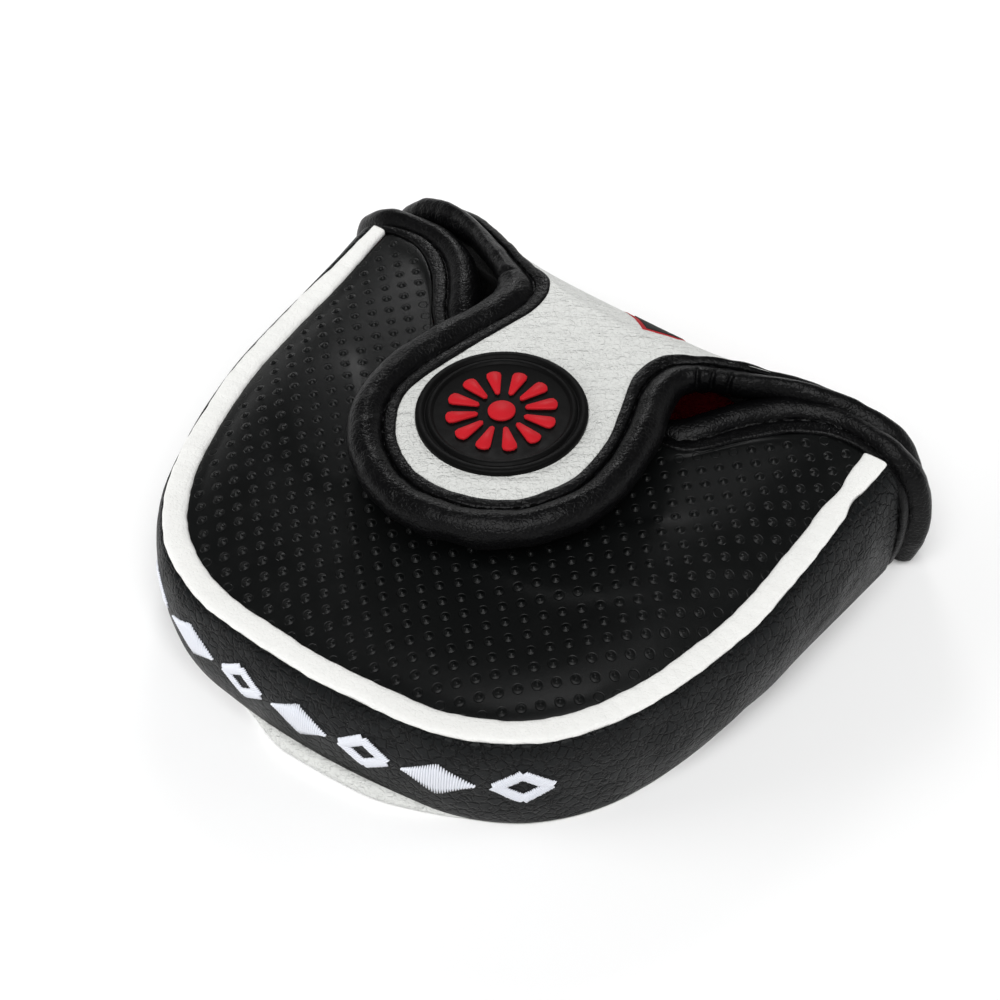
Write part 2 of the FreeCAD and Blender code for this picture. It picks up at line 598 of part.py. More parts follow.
# ---------------------------------------------------------------- badge and its emblem
badge = disc("badge", "dims.badge_radius", "-dims.badge_back", CROWN_TOP, "dims.badge_rim")
field = plane_sketch(badge, "badge_field", "XY_Plane", f"{CROWN_TOP} + dims.badge_base")
field_centre = FreeCAD.Vector(0, -dim("badge_back"), 0)
field.addGeometry(Part.Circle(field_centre, FreeCAD.Vector(0, 0, 1), dim("badge_field")), False)
bind(field, "DistanceX", (0, 3), "0")
bind(field, "DistanceY", (0, 3), "-dims.badge_back")
bind(field, "Radius", (0,), "dims.badge_field")
cut(badge, field, "2 * (dims.badge_rim - dims.badge_base)")
finish_piece(badge)

FIELD_LEVEL = f"{CROWN_TOP} + dims.badge_base"
emblem = disc("badge_emblem", "dims.ray_root", "-dims.badge_back", FIELD_LEVEL, "dims.emblem_thick")
ray = polygon(emblem, "ray_outline", "XY_Plane",
              [("-dims.ray_half", "-dims.badge_back"), ("dims.ray_half", "-dims.badge_back"),
               ("dims.ray_half", "dims.ray_tip - dims.badge_back - dims.ray_half"),
               ("0", "dims.ray_tip - dims.badge_back"),
               ("-dims.ray_half", "dims.ray_tip - dims.badge_back - dims.ray_half")], FIELD_LEVEL)
ray_pad = pad(emblem, ray, "dims.emblem_thick")
centre_line = plane_sketch(emblem, "ray_centre", "XZ_Plane", "dims.badge_back")
centre_line.addGeometry(segment((0, 0), (0, dim("far"))), True)
bind(centre_line, "DistanceX", (0, 1), "0")
bind(centre_line, "DistanceX", (0, 2), "0")
bind(centre_line, "DistanceY", (0, 1), "0")
bind(centre_line, "DistanceY", (0, 2), "dims.far")
rays = emblem.newObject("PartDesign::PolarPattern", "rays")
rays.Originals = [ray_pad]
rays.Axis = (centre_line, ["Axis0"])
rays.Angle = 360
rays.setExpression("Occurrences", "dims.ray_count")
emblem.Tip = rays
finish_piece(emblem)

# ---------------------------------------------------------------- check and write
doc.recompute()
for item in doc.Objects:
    if "Invalid" in item.State or "Error" in item.State:
        raise RuntimeError(f"{item.Name} did not recompute: {item.State}")
for piece in pieces:
    if piece.Shape.isNull() or not piece.Shape.isValid():
        raise RuntimeError(f"{piece.Label} has no valid shape")

os.makedirs("parts", exist_ok=True)
for piece in pieces:
    piece.Shape.exportStep(f"parts/{piece.Label}.step")
    box = piece.Shape.BoundBox
    print(f"{piece.Label:20s} {len(piece.Shape.Solids)} solid(s) {piece.Shape.Volume:9.1f} mm3 "
          f"x {box.XMin:6.1f} {box.XMax:6.1f} y {box.YMin:6.1f} {box.YMax:6.1f} "
          f"z {box.ZMin:5.1f} {box.ZMax:5.1f}")
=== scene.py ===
"""Putter head cover: the visible leather, bindings, linings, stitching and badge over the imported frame."""
import json
import math

import bmesh
import bpy
import numpy as np
from mathutils import Matrix, Vector
from mathutils.bvhtree import BVHTree
from mathutils.kdtree import KDTree

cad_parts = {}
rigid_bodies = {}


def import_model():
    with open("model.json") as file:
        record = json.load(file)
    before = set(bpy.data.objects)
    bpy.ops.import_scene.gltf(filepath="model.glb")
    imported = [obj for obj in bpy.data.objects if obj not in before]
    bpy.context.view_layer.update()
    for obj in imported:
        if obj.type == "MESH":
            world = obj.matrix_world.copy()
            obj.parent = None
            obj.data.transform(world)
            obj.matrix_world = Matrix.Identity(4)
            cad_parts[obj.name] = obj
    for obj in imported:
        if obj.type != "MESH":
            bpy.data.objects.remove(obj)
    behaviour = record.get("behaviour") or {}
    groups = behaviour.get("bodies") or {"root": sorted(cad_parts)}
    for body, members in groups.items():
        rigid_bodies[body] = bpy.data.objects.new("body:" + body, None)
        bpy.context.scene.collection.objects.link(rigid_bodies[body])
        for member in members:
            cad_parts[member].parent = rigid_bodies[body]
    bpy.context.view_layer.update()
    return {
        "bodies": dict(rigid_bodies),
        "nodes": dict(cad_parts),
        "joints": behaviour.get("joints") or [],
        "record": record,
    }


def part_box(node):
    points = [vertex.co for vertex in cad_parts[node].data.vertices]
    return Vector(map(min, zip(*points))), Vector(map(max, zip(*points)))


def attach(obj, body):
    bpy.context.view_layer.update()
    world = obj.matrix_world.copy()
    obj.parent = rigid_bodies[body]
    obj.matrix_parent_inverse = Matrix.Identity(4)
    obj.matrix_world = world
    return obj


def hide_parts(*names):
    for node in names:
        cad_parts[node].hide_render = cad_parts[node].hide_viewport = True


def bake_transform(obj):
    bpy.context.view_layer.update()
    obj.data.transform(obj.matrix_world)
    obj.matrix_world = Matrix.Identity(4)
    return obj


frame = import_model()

MM = 0.001
rng = np.random.default_rng(7)


# ---- sizes read from the frame, in millimetres
def node_box(node):
    """Lowest and highest corner of a node, in millimetres."""
    low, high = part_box(node)
    return np.array(low) / MM, np.array(high) / MM


band_low, band_high = node_box("band_leather")
badge_low, badge_high = node_box("badge")
tongue_top = node_box("flap_leather")[1][2]
sole_front = node_box("sole_leather")[1][1]

# the band's face stands BAND_OUT outside the piping's centreline, which gives the pouch its plan
BAND_OUT = 4.2
HALF_WIDTH = band_high[0] - BAND_OUT
REAR_DEPTH = -band_low[1] - BAND_OUT
REAR_RADIUS, CORNER_RADIUS, SIDE_RADIUS = 140.8, 33.2, 98.0
SIDE_BACK = 26.2
MOUTH_Y = band_high[1] + 1.0
PIPING_HALF = 2.25
# the panel's raised dots; DOT_BACK is how far behind the neck one of them sits on the centreline
DOT_PITCH, DOT_RADIUS, DOT_HEIGHT, DOT_MARGIN, DOT_BACK = 3.2, 0.72, 0.40, 2.0, 40.0


# ---- plan outline of the pouch
def outline_arcs():
    """Centres, radii and angles of the three arcs of the right-hand half, from the rear outwards."""
    rear_y = REAR_RADIUS - REAR_DEPTH
    side_x, side_y = HALF_WIDTH - SIDE_RADIUS, -SIDE_BACK
    to_rear, to_side = REAR_RADIUS - CORNER_RADIUS, SIDE_RADIUS - CORNER_RADIUS
    span = math.hypot(side_x, side_y - rear_y)
    along = (to_rear ** 2 - to_side ** 2 + span ** 2) / (2 * span)
    out = math.sqrt(to_rear ** 2 - along ** 2)
    dir_x, dir_y = side_x / span, (side_y - rear_y) / span
    corner = (dir_x * along - dir_y * out, rear_y + dir_y * along + dir_x * out)
    turn = math.atan2(corner[0], rear_y - corner[1])
    reach = math.atan2(corner[0] - side_x, -(corner[1] - side_y))
    return [((0.0, rear_y), REAR_RADIUS, 0.0, turn), (corner, CORNER_RADIUS, turn, reach),
            ((side_x, side_y), SIDE_RADIUS, reach, math.pi / 2)]


ARCS = outline_arcs()
ARC_LENGTH = sum(radius * (end - start) for _, radius, start, end in ARCS)
RIM_END = ARC_LENGTH + SIDE_BACK + MOUTH_Y      # length of half the rim, from the rear to the mouth


def rim(distance, offset=0.0):
    """Plan position and outward normal at a distance along the rim from the rear, positive towards +X."""
    distance = np.atleast_1d(np.asarray(distance, float))
    length = np.abs(distance)
    x, y = np.zeros_like(length), np.zeros_like(length)
    nx, ny = np.zeros_like(length), np.zeros_like(length)
    begun = 0.0
    for centre, radius, start, end in ARCS:
        angle = start + (length - begun) / radius
        inside = (length >= begun) & (angle <= end + 1e-9)
        x[inside] = centre[0] + radius * np.sin(angle[inside])
        y[inside] = centre[1] - radius * np.cos(angle[inside])
        nx[inside], ny[inside] = np.sin(angle[inside]), -np.cos(angle[inside])
        begun += radius * (end - start)
    straight = length > begun
    x[straight], y[straight] = HALF_WIDTH, -SIDE_BACK + length[straight] - begun
    nx[straight], ny[straight] = 1.0, 0.0
    sign = np.where(distance < 0, -1.0, 1.0)
    return np.stack([sign * (x + offset * nx), y + offset * ny, sign * nx, ny], -1)


def rim_height(y):
    """Height of the piping above the floor: a shallow arc, lowest near the rounded end."""
    return 26.0 + 0.1318 * y + 0.000825 * y * y


def smooth(value, low=0.0, high=1.0):
    """Smooth step from 0 to 1 between low and high."""
    t = np.clip((value - low) / (high - low), 0, 1)
    return t * t * (3 - 2 * t)


# ---- mesh helpers
def unit(vectors):
    """Vectors brought to length one."""
    return vectors / np.linalg.norm(vectors, axis=-1, keepdims=True)


def square_to(normal, across):
    """Unit vectors as near to normal as can be at right angles to across."""
    share = np.sum(normal * across, -1, keepdims=True) / np.sum(across * across, -1, keepdims=True)
    return unit(normal - across * share)


def run_along(points):
    """Distance along a line of points, from its first."""
    return np.concatenate([[0], np.cumsum(np.linalg.norm(np.diff(points, axis=0), axis=1))])


def wave_noise(points, wavelength, seed):
    """Gentle repeatable noise from a few sine waves, about -1 to 1, at points in millimetres."""
    local = np.random.default_rng(seed)
    total = np.zeros(points.shape[:-1])
    count = 7
    for _ in range(count):
        direction = unit(local.normal(size=3))
        scale = local.uniform(0.6, 1.6) * wavelength
        total += np.sin(points @ direction * (2 * math.pi / scale) + local.uniform(0, 2 * math.pi))
    return total / math.sqrt(count)


def make_mesh(name, points, faces, look, body=None):
    """A smooth-shaded mesh object from points in millimetres."""
    mesh = bpy.data.meshes.new(name)
    mesh.from_pydata((np.asarray(points, float) * MM).tolist(), [], [list(map(int, face)) for face in faces])
    mesh.validate()
    mesh.update()
    edit = bmesh.new()
    edit.from_mesh(mesh)
    bmesh.ops.remove_doubles(edit, verts=edit.verts, dist=1e-7)
    bmesh.ops.recalc_face_normals(edit, faces=edit.faces)
    edit.to_mesh(mesh)
    edit.free()
    mesh.polygons.foreach_set("use_smooth", [True] * len(mesh.polygons))
    mesh.materials.append(look.material)
    piece = bpy.data.objects.new(name, mesh)
    bpy.context.scene.collection.objects.link(piece)
    if body is not None:
        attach(piece, body)
    return piece


def stuff(piece, points, loose, pressure=4.0, frames=8, cap=0.35):
    """Swell a sewn piece by a cloth simulation at eight times its size.

    loose says which points may move, by at most cap millimetres."""
    tree = KDTree(len(points))
    for index, point in enumerate(points):
        tree.insert(Vector(point) * MM, index)
    tree.balance()
    free = np.array([loose[tree.find(vertex.co)[1]] for vertex in piece.data.vertices])
    scale, count = 8.0, len(piece.data.vertices)
    start = np.empty(count * 3)
    piece.data.vertices.foreach_get("co", start)
    mesh = piece.data.copy()
    mesh.vertices.foreach_set("co", start * scale)
    form = bpy.data.objects.new("stuffing", mesh)
    scene = bpy.context.scene
    scene.collection.objects.link(form)
    seam = form.vertex_groups.new(name="seam")
    seam.add([int(index) for index in np.flatnonzero(~free)], 1.0, "REPLACE")
    cloth = form.modifiers.new("stuffing", "CLOTH")
    cloth.settings.vertex_group_mass = "seam"
    cloth.settings.use_pressure = True
    cloth.settings.uniform_pressure_force = pressure
    cloth.settings.effector_weights.gravity = 0.0
    cloth.point_cache.frame_end = frames
    for frame in range(1, frames + 1):
        scene.frame_set(frame)
    settled = np.empty(count * 3)
    form.evaluated_get(bpy.context.evaluated_depsgraph_get()).data.vertices.foreach_get("co", settled)
    bpy.data.objects.remove(form)
    scene.frame_set(1)
    moved = (settled / scale - start).reshape(-1, 3)
    edges = np.empty(len(piece.data.edges) * 2, int)
    piece.data.edges.foreach_get("vertices", edges)
    first, second = edges.reshape(-1, 2).T
    for _ in range(4):
        total, shared = moved.copy(), np.ones(count)
        np.add.at(total, first, moved[second])
        np.add.at(total, second, moved[first])
        np.add.at(shared, first, 1)
        np.add.at(shared, second, 1)
        moved = total / shared[:, None] * free[:, None]
    length = np.linalg.norm(moved, axis=1)
    moved *= np.minimum(1.0, cap * MM / np.maximum(length, 1e-9))[:, None]
    piece.data.vertices.foreach_set("co", start + moved.ravel())
    piece.data.update()


def loop_faces(rows, columns, start=0):
    """Quads between closed loops of points stored one after the other."""
    faces = []
    for row in range(rows - 1):
        here = start + row * columns
        for column in range(columns):
            after = (column + 1) % columns
            faces.append((here + column, here + after, here + columns + after, here + columns + column))
    return faces


def tube(grid):
    """Points and faces of closed sections joined along rows, with both ends capped."""
    rows, columns = grid.shape[:2]
    faces = loop_faces(rows, columns)
    for centre, row in ((rows * columns, 0), (rows * columns + 1, rows - 1)):
        ring = [row * columns + column for column in range(columns)]
        faces += [(here, after, centre) for here, after in zip(ring, ring[1:] + ring[:1])]
    return np.vstack([grid.reshape(-1, 3), grid[0].mean(0), grid[-1].mean(0)]), faces


def capped(loops):
    """Points and faces of closed loops joined in order, the first and the last filled flat."""
    rows, columns = loops.shape[:2]
    faces = loop_faces(rows, columns)
    faces += [[row * columns + column for column in range(columns)] for row in (0, rows - 1)]
    return loops.reshape(-1, 3), faces


def join_parts(parts):
    """Several point and face lists as one."""
    points, faces, start = [], [], 0
    for part_points, part_faces in parts:
        points.append(np.asarray(part_points, float))
        faces += [[start + index for index in face] for face in part_faces]
        start += len(part_points)
    return np.vstack(points), faces


def spline(a, b, c, d, t):
    """The point at share t of a Catmull-Rom curve from b to c."""
    return 0.5 * (2 * b + (c - a) * t + (2 * a - 5 * b + 4 * c - d) * t * t + (3 * b - a - 3 * c + d) * t ** 3)


def catmull(rows, count):
    """Smooth rows of control values, resampled to count rows evenly along the mean path."""
    rows = np.asarray(rows, float)
    padded = np.vstack([2 * rows[0] - rows[1], rows, 2 * rows[-1] - rows[-2]])
    fine = [spline(*padded[index:index + 4], t) for index in range(len(rows) - 1) for t in np.arange(24) / 24]
    fine = np.array(fine + [rows[-1]])
    length = run_along((fine[:, :3] + fine[:, 3:6]) / 2)
    wanted = np.linspace(0, length[-1], count)
    return np.stack([np.interp(wanted, length, fine[:, column]) for column in range(fine.shape[1])], -1)


def closed_curve(points, count):
    """A smooth closed loop through control points."""
    points = np.asarray(points, float)
    result = []
    for value in np.linspace(0, len(points), count, endpoint=False):
        near = [points[(int(value) + shift) % len(points)] for shift in (-1, 0, 1, 2)]
        result.append(spline(*near, value % 1))
    return np.array(result)


# ---- materials
def add_node(tree, kind, inputs, **settings):
    """A shader node with its settings made, and its inputs linked to sockets or set to values."""
    node = tree.nodes.new("ShaderNode" + kind)
    for name, value in settings.items():
        setattr(node, name, value)
    for socket, value in inputs.items():
        if isinstance(value, bpy.types.NodeSocket):
            tree.links.new(value, node.inputs[socket])
        else:
            node.inputs[socket].default_value = value
    return node


class Look:
    """A material in the making: a Principled shader with its uniform values on its own sockets."""

    def __init__(self, name, colour, roughness, **sockets):
        self.material = bpy.data.materials.new(name)
        self.material.use_nodes = True
        self.tree = self.material.node_tree
        self.shader = self.tree.nodes["Principled BSDF"].inputs
        self.shader["Base Color"].default_value = (*colour, 1)
        self.shader["Roughness"].default_value = roughness
        for socket, value in sockets.items():
            self.shader[socket.replace("_", " ")].default_value = value
        self.place = add_node(self.tree, "TexCoord", {}).outputs["Object"]

    def node(self, kind, inputs, **settings):
        return add_node(self.tree, kind, inputs, **settings)

    def maths(self, operation, *values):
        """The result of a Math node."""
        return self.node("Math", dict(enumerate(values)), operation=operation).outputs[0]

    def mapped(self, settings, **kind):
        """Object coordinates turned or scaled by a mapping."""
        return self.node("Mapping", {"Vector": self.place, **settings}, **kind).outputs["Vector"]

    def noise(self, scale, detail=3.0, roughness=0.55, vector=None):
        """A noise texture's factor."""
        vector = self.place if vector is None else vector
        values = {"Scale": scale, "Detail": detail, "Roughness": roughness, "Vector": vector}
        return self.node("TexNoise", values).outputs["Fac"]

    def cells(self, scale, low, high):
        """Rounded cells, pushed about by noise, with creases between them: 0 in a crease, 1 on a cell."""
        push = self.node("TexNoise", {"Scale": scale * 1.3, "Detail": 2.0, "Vector": self.place})
        push = self.node("VectorMath", {0: push.outputs["Color"], "Scale": 0.9 / scale}, operation="SCALE")
        bent = self.node("VectorMath", {0: self.place, 1: push.outputs["Vector"]}, operation="ADD")
        values = {"Scale": scale, "Vector": bent.outputs["Vector"]}
        edge = self.node("TexVoronoi", values, feature="DISTANCE_TO_EDGE")
        return self.ramp(edge.outputs["Distance"], low, high)

    def ramp(self, value, low, high):
        """A smooth step from 0 at low to 1 at high."""
        values = {"Value": value, "From Min": low, "From Max": high}
        return self.node("MapRange", values, interpolation_type="SMOOTHSTEP").outputs["Result"]

    def bump(self, height, distance):
        """Bump on the shader, stacked on any bump already there."""
        node = self.node("Bump", {"Height": height, "Distance": distance})
        if self.shader["Normal"].links:
            self.tree.links.new(self.shader["Normal"].links[0].from_socket, node.inputs["Normal"])
        self.tree.links.new(node.outputs["Normal"], self.shader["Normal"])

    def tint(self, factor, dark, light):
        """Base colour that runs from dark to light with a factor."""
        mix = self.node("Mix", {"Factor": factor, "A": (*dark, 1), "B": (*light, 1)}, data_type="RGBA")
        self.tree.links.new(mix.outputs["Result"], self.shader["Base Color"])

    def vary_roughness(self, factor, low, high):
        """Roughness that runs from low to high with a factor."""
        values = {"Value": factor, "From Min": 0.3, "From Max": 0.7, "To Min": low, "To Max": high}
        node = self.node("MapRange", values)
        self.tree.links.new(node.outputs["Result"], self.shader["Roughness"])


def leather(name, dark, light, roughness, grain, fine_depth, wrinkles=None, gloss=0.3, shade_in_creases=False):
    """Coated leather: creased cells, fine grain, slight mottling and uneven sheen, and the option of painted
    shade darkening the creases in the base colour.

    grain is the cells' scale and depth, and the reach of the creases between them. wrinkles, long and shallow,
    have a direction in degrees from +X, a stretch, a scale and a depth."""
    look = Look(name, light, sum(roughness) / 2, Specular_IOR_Level=gloss)
    scale, depth, reach = grain
    creases = look.cells(scale, 0.0, reach)
    # painted shade: when asked, the creases between the cells are darker in the base colour
    look.tint(creases if shade_in_creases else look.noise(55.0, 2.0), dark, light)
    look.vary_roughness(look.noise(160.0), *roughness)
    look.bump(creases, depth)
    look.bump(look.noise(2600.0, 4.0), fine_depth)
    if wrinkles:
        angle, stretch, scale, depth = wrinkles
        turn = {"Rotation": (0, 0, math.radians(angle)), "Scale": (stretch, 1, 1)}
        turned = look.mapped(turn, vector_type="TEXTURE")
        look.bump(look.noise(scale, 3.0, 0.6, turned), depth)
    return look


def crease_round_dots(look):
    """A shallow crease round each raised dot of the panel's lattice."""
    scale = 1 / (DOT_PITCH * math.sqrt(2) * MM)
    offsets = {}
    for axis, direction in (("X", (scale, scale, 0)), ("Y", (-scale, scale, 0))):
        along = look.node("VectorMath", {0: look.place, 1: direction}, operation="DOT_PRODUCT")
        part = look.maths("FRACT", look.maths("ADD", along.outputs["Value"], DOT_BACK * MM * scale + 0.5))
        offsets[axis] = look.maths("SUBTRACT", part, 0.5)
    offset = look.node("CombineXYZ", offsets).outputs["Vector"]
    away = look.node("VectorMath", {0: offset}, operation="LENGTH").outputs["Value"]
    from_ring = look.maths("ABSOLUTE", look.maths("SUBTRACT", away, (DOT_RADIUS + 0.10) / DOT_PITCH))
    look.bump(look.ramp(from_ring, 0.0, 0.05), 0.00006)


def plush():
    """Red plush: short matt pile."""
    look = Look("red_plush", (0.16, 0.001, 0.004), 0.95, Specular_IOR_Level=0.1)
    look.tint(look.noise(900.0, 4.0), (0.09, 0.0006, 0.002), (0.24, 0.002, 0.006))
    look.bump(look.noise(2200.0, 4.0), 0.0004)
    return look


def thread_look(name, dark, light, roughness, sheen):
    """Twisted thread: fine ridges across the strand and a silky finish."""
    look = Look(name, light, roughness, Sheen_Weight=sheen, Specular_IOR_Level=sheen)
    fibres = look.noise(5200.0)
    look.tint(fibres, dark, light)
    look.bump(fibres, 0.00004)
    return look


def rubber(name, dark, light, roughness):
    """Moulded rubber: matte skin with a faint sandy texture."""
    look = Look(name, light, sum(roughness) / 2, Specular_IOR_Level=0.08)
    look.tint(look.noise(240.0), dark, light)
    look.vary_roughness(look.noise(500.0), *roughness)
    look.bump(look.noise(4200.0, 2.0), 0.000015)
    return look


def nickel():
    """Nickel plate with fine turning marks."""
    look = Look("nickel", (0.62, 0.62, 0.64), 0.3, Metallic=1.0)
    marks = look.noise(900.0, vector=look.mapped({"Scale": (1.0, 1.0, 8.0)}))
    look.vary_roughness(marks, 0.22, 0.38)
    look.bump(marks, 0.00001)
    return look


def woven(name, dark, light, threads):
    """Plain weave from two crossed waves."""
    look = Look(name, light, 0.85)
    waves = []
    for axis in ("X", "Y"):
        values = {"Scale": threads, "Distortion": 0.6, "Vector": look.place}
        waves.append(look.node("TexWave", values, bands_direction=axis).outputs["Fac"])
    weave = look.maths("MULTIPLY", *waves)
    look.tint(weave, dark, light)
    look.bump(weave, 0.00015)
    return look


WHITE = leather("white_leather", (0.62, 0.63, 0.61), (0.68, 0.685, 0.665), (0.44, 0.56),
                (900.0, 0.00011, 0.25), 0.00004, (34, 4.5, 620.0, 0.0009))
DOTTED = leather("dotted_leather", (0.0016, 0.0019, 0.0019), (0.0028, 0.0032, 0.0032), (0.30, 0.40),
                 (5200.0, 0.000006, 0.3), 0.00001, gloss=0.19)
crease_round_dots(DOTTED)
# the pebbled band's creases carry painted shade in its base colour
PEBBLED = leather("pebbled_leather", (0.0008, 0.0010, 0.0012), (0.0036, 0.0044, 0.0048), (0.38, 0.50),
                  (540.0, 0.00024, 0.16), 0.00006, (60, 1.0, 900.0, 0.00012), gloss=0.17, shade_in_creases=True)
BINDING = leather("binding_leather", (0.0010, 0.0010, 0.0012), (0.0018, 0.0018, 0.0021), (0.28, 0.42),
                  (1100.0, 0.00004, 0.25), 0.00003, (20, 2.5, 380.0, 0.00015), gloss=0.15)
PIPING = leather("piping_leather", (0.76, 0.76, 0.74), (0.83, 0.83, 0.81), (0.42, 0.52),
                 (1100.0, 0.00004, 0.25), 0.00002, (20, 3.0, 500.0, 0.00018))
PLUSH = plush()
BLACK_THREAD = thread_look("black_thread", (0.001, 0.001, 0.001), (0.004, 0.004, 0.004), 0.6, 0.0)
WHITE_THREAD = thread_look("white_thread", (0.66, 0.68, 0.74), (0.82, 0.84, 0.90), 0.45, 0.3)
BLACK_RUBBER = rubber("black_rubber", (0.0014, 0.0014, 0.0014), (0.0024, 0.0024, 0.0024), (0.42, 0.55))
RED_RUBBER = rubber("red_rubber", (0.42, 0.010, 0.016), (0.54, 0.016, 0.024), (0.38, 0.48))
NICKEL = nickel()
POUCH = woven("pouch_cloth", (0.03, 0.03, 0.032), (0.07, 0.07, 0.075), 700.0)
RED_CLOTH = woven("red_cloth", (0.40, 0.008, 0.014), (0.58, 0.016, 0.024), 1100.0)
# black cloth for the crown's wedge, and also the colour of the painted-shade sheets over the lining's ends
BLACK_CLOTH_AND_SHADE = woven("black_cloth_and_painted_shade", (0.004, 0.004, 0.004), (0.012, 0.012, 0.012), 1100.0)


# ---- pouch: sole, band, piping
# how far the padded band stands out along half the rim: at its fullest, and at its foot
BAND_AT = (0, 20, 38, 48, 60, 70, 80, 90, 100, 110, 122)
BAND_PEAK = (4.6, 4.4, 4.2, 3.9, 4.0, 4.5, 5.0, 5.4, 5.6, 5.8, 6.0)
BAND_FOOT = (2.8, 2.8, 3.3, 3.1, 2.8, 2.2, 1.5, 1.8, 2.5, 3.5, 4.5)
BAND_TOP = 2.35
# the face from the piping down: share of the height, then shares of top, peak and foot
BAND_FACE = ((0.0, 1.0, 0.0, 0.0), (0.04, 0.62, 0.38, 0.0), (0.12, 0.25, 0.75, 0.0), (0.28, 0.03, 0.97, 0.0),
             (0.46, 0.0, 1.0, 0.0), (0.64, 0.0, 0.92, 0.08), (0.80, 0.0, 0.70, 0.30), (0.91, 0.0, 0.38, 0.62),
             (1.0, 0.0, 0.06, 0.94))


def lip(distance):
    """1 where the white sole rolls out under the rounded end, 0 elsewhere."""
    distance = np.asarray(distance, float)
    return smooth(distance, -17.0, -3.0) * (1 - smooth(distance, 12.0, 31.0))


def lower_seam(distance):
    """Height of the seam between band and sole."""
    return 0.7 + 2.3 * lip(distance)


def swept_rim(at, section):
    """Points of a section that depends on distance: section(distance, y) gives (offset, height) pairs."""
    grid = []
    for (x, y, nx, ny), distance in zip(rim(at), at):
        pairs = section(distance, y)
        grid.append([(x + nx * offset, y + ny * offset, height) for offset, height in pairs])
    return np.array(grid)


FACE_STEPS = 26
FACE_AT = np.linspace(0, 1, FACE_STEPS)
FACE_SHARES = np.array([np.interp(FACE_AT, [row[0] for row in BAND_FACE], [row[k] for row in BAND_FACE])
                        for k in (1, 2, 3)])


def band_section(distance, y):
    """The band's padded face, then its flat back, as a closed loop."""
    top = rim_height(y) - 0.2
    low = float(lower_seam(distance))
    peak = np.interp(abs(distance), BAND_AT, BAND_PEAK)
    foot = np.interp(abs(distance), BAND_AT, BAND_FOOT) + 1.3 * float(lip(distance))
    offsets = BAND_TOP * FACE_SHARES[0] + peak * FACE_SHARES[1] + foot * FACE_SHARES[2]
    face = list(zip(offsets, top + (low - top) * FACE_AT))
    back = [(1.2, low + 0.3), (0.5, low + 1.5), (0.5, (low + top) / 2), (0.5, top - 1.6), (1.2, top - 0.6)]
    return face + back


BAND_STEPS = np.linspace(-RIM_END, RIM_END, 441)
band_grid = swept_rim(BAND_STEPS, band_section)
for _ in range(2):
    band_grid[:, 1:FACE_STEPS - 1] = (band_grid[:, :FACE_STEPS - 2] + 2 * band_grid[:, 1:FACE_STEPS - 1]
                                      + band_grid[:, 2:FACE_STEPS]) / 4
ripple = wave_noise(band_grid, 19.0, 3) * 0.20 + wave_noise(band_grid, 7.0, 4) * 0.06
outward = rim(BAND_STEPS)[:, 2:4]
face_weight = np.zeros(band_grid.shape[1])
face_weight[:FACE_STEPS] = np.sin(math.pi * FACE_AT) ** 0.7
band_grid[..., :2] += (ripple * face_weight)[..., None] * outward[:, None, :]
side_band = make_mesh("side_band", *tube(band_grid), PEBBLED, "shell")
on_face = np.zeros(band_grid.shape[:2], bool)
on_face[3:-3, 2:FACE_STEPS - 2] = True
stuff(side_band, band_grid.reshape(-1, 3), on_face.ravel())
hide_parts("band_leather", "band_foam")


def piping_section(distance, y):
    """A flat strip folded down at both edges, lightly gathered by its stitches."""
    top = rim_height(y)
    wander = 0.10 * math.sin(distance * 0.31 + 1.3) + 0.04 * math.sin(distance * 1.1)
    half = PIPING_HALF + 0.05 * math.sin(distance * 0.47) + 0.03 * math.sin(distance * 1.9 + 0.4)
    nip = 0.32 * math.exp(-((distance - RIM_END + 9.5) / 2.8) ** 2)
    half *= 1 - nip - 0.34 * float(smooth(-distance, RIM_END - 22, RIM_END))
    crown = 0.60 + 0.05 * math.sin(distance * 0.8) + 0.03 * math.sin(distance * 2.6 + 0.7)
    across = [(-1.0, -0.5), (-0.99, 0.05), (-0.93, 0.5), (-0.78, 0.85), (-0.4, 1.0), (0.0, 1.02), (0.4, 1.0),
              (0.78, 0.85), (0.93, 0.5), (0.99, 0.05), (1.0, -0.5), (0.6, -1.4), (0.0, -1.6), (-0.6, -1.4)]
    return [(wander + half * side, top + (crown * rise if rise > 0 else rise)) for side, rise in across]


PIPING_STEPS = np.linspace(-RIM_END, RIM_END, 961)
piping_strip = make_mesh("piping_strip", *tube(swept_rim(PIPING_STEPS, piping_section)), PIPING, "shell")
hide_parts("piping")


def radial_cap(edge, centre, rings, height):
    """Rings of points from a closed edge in to a centre; height(x, y) gives each point's z."""
    grid = []
    for k in rings:
        ring = centre + (edge - centre) * k
        grid.append(np.column_stack([ring, height(ring[:, 0], ring[:, 1])]))
    return np.array(grid)


def close_pad(upper, lower):
    """Points and faces of a pad from its upper and lower rings, both edge first."""
    return capped(np.vstack([upper[::-1], lower]))


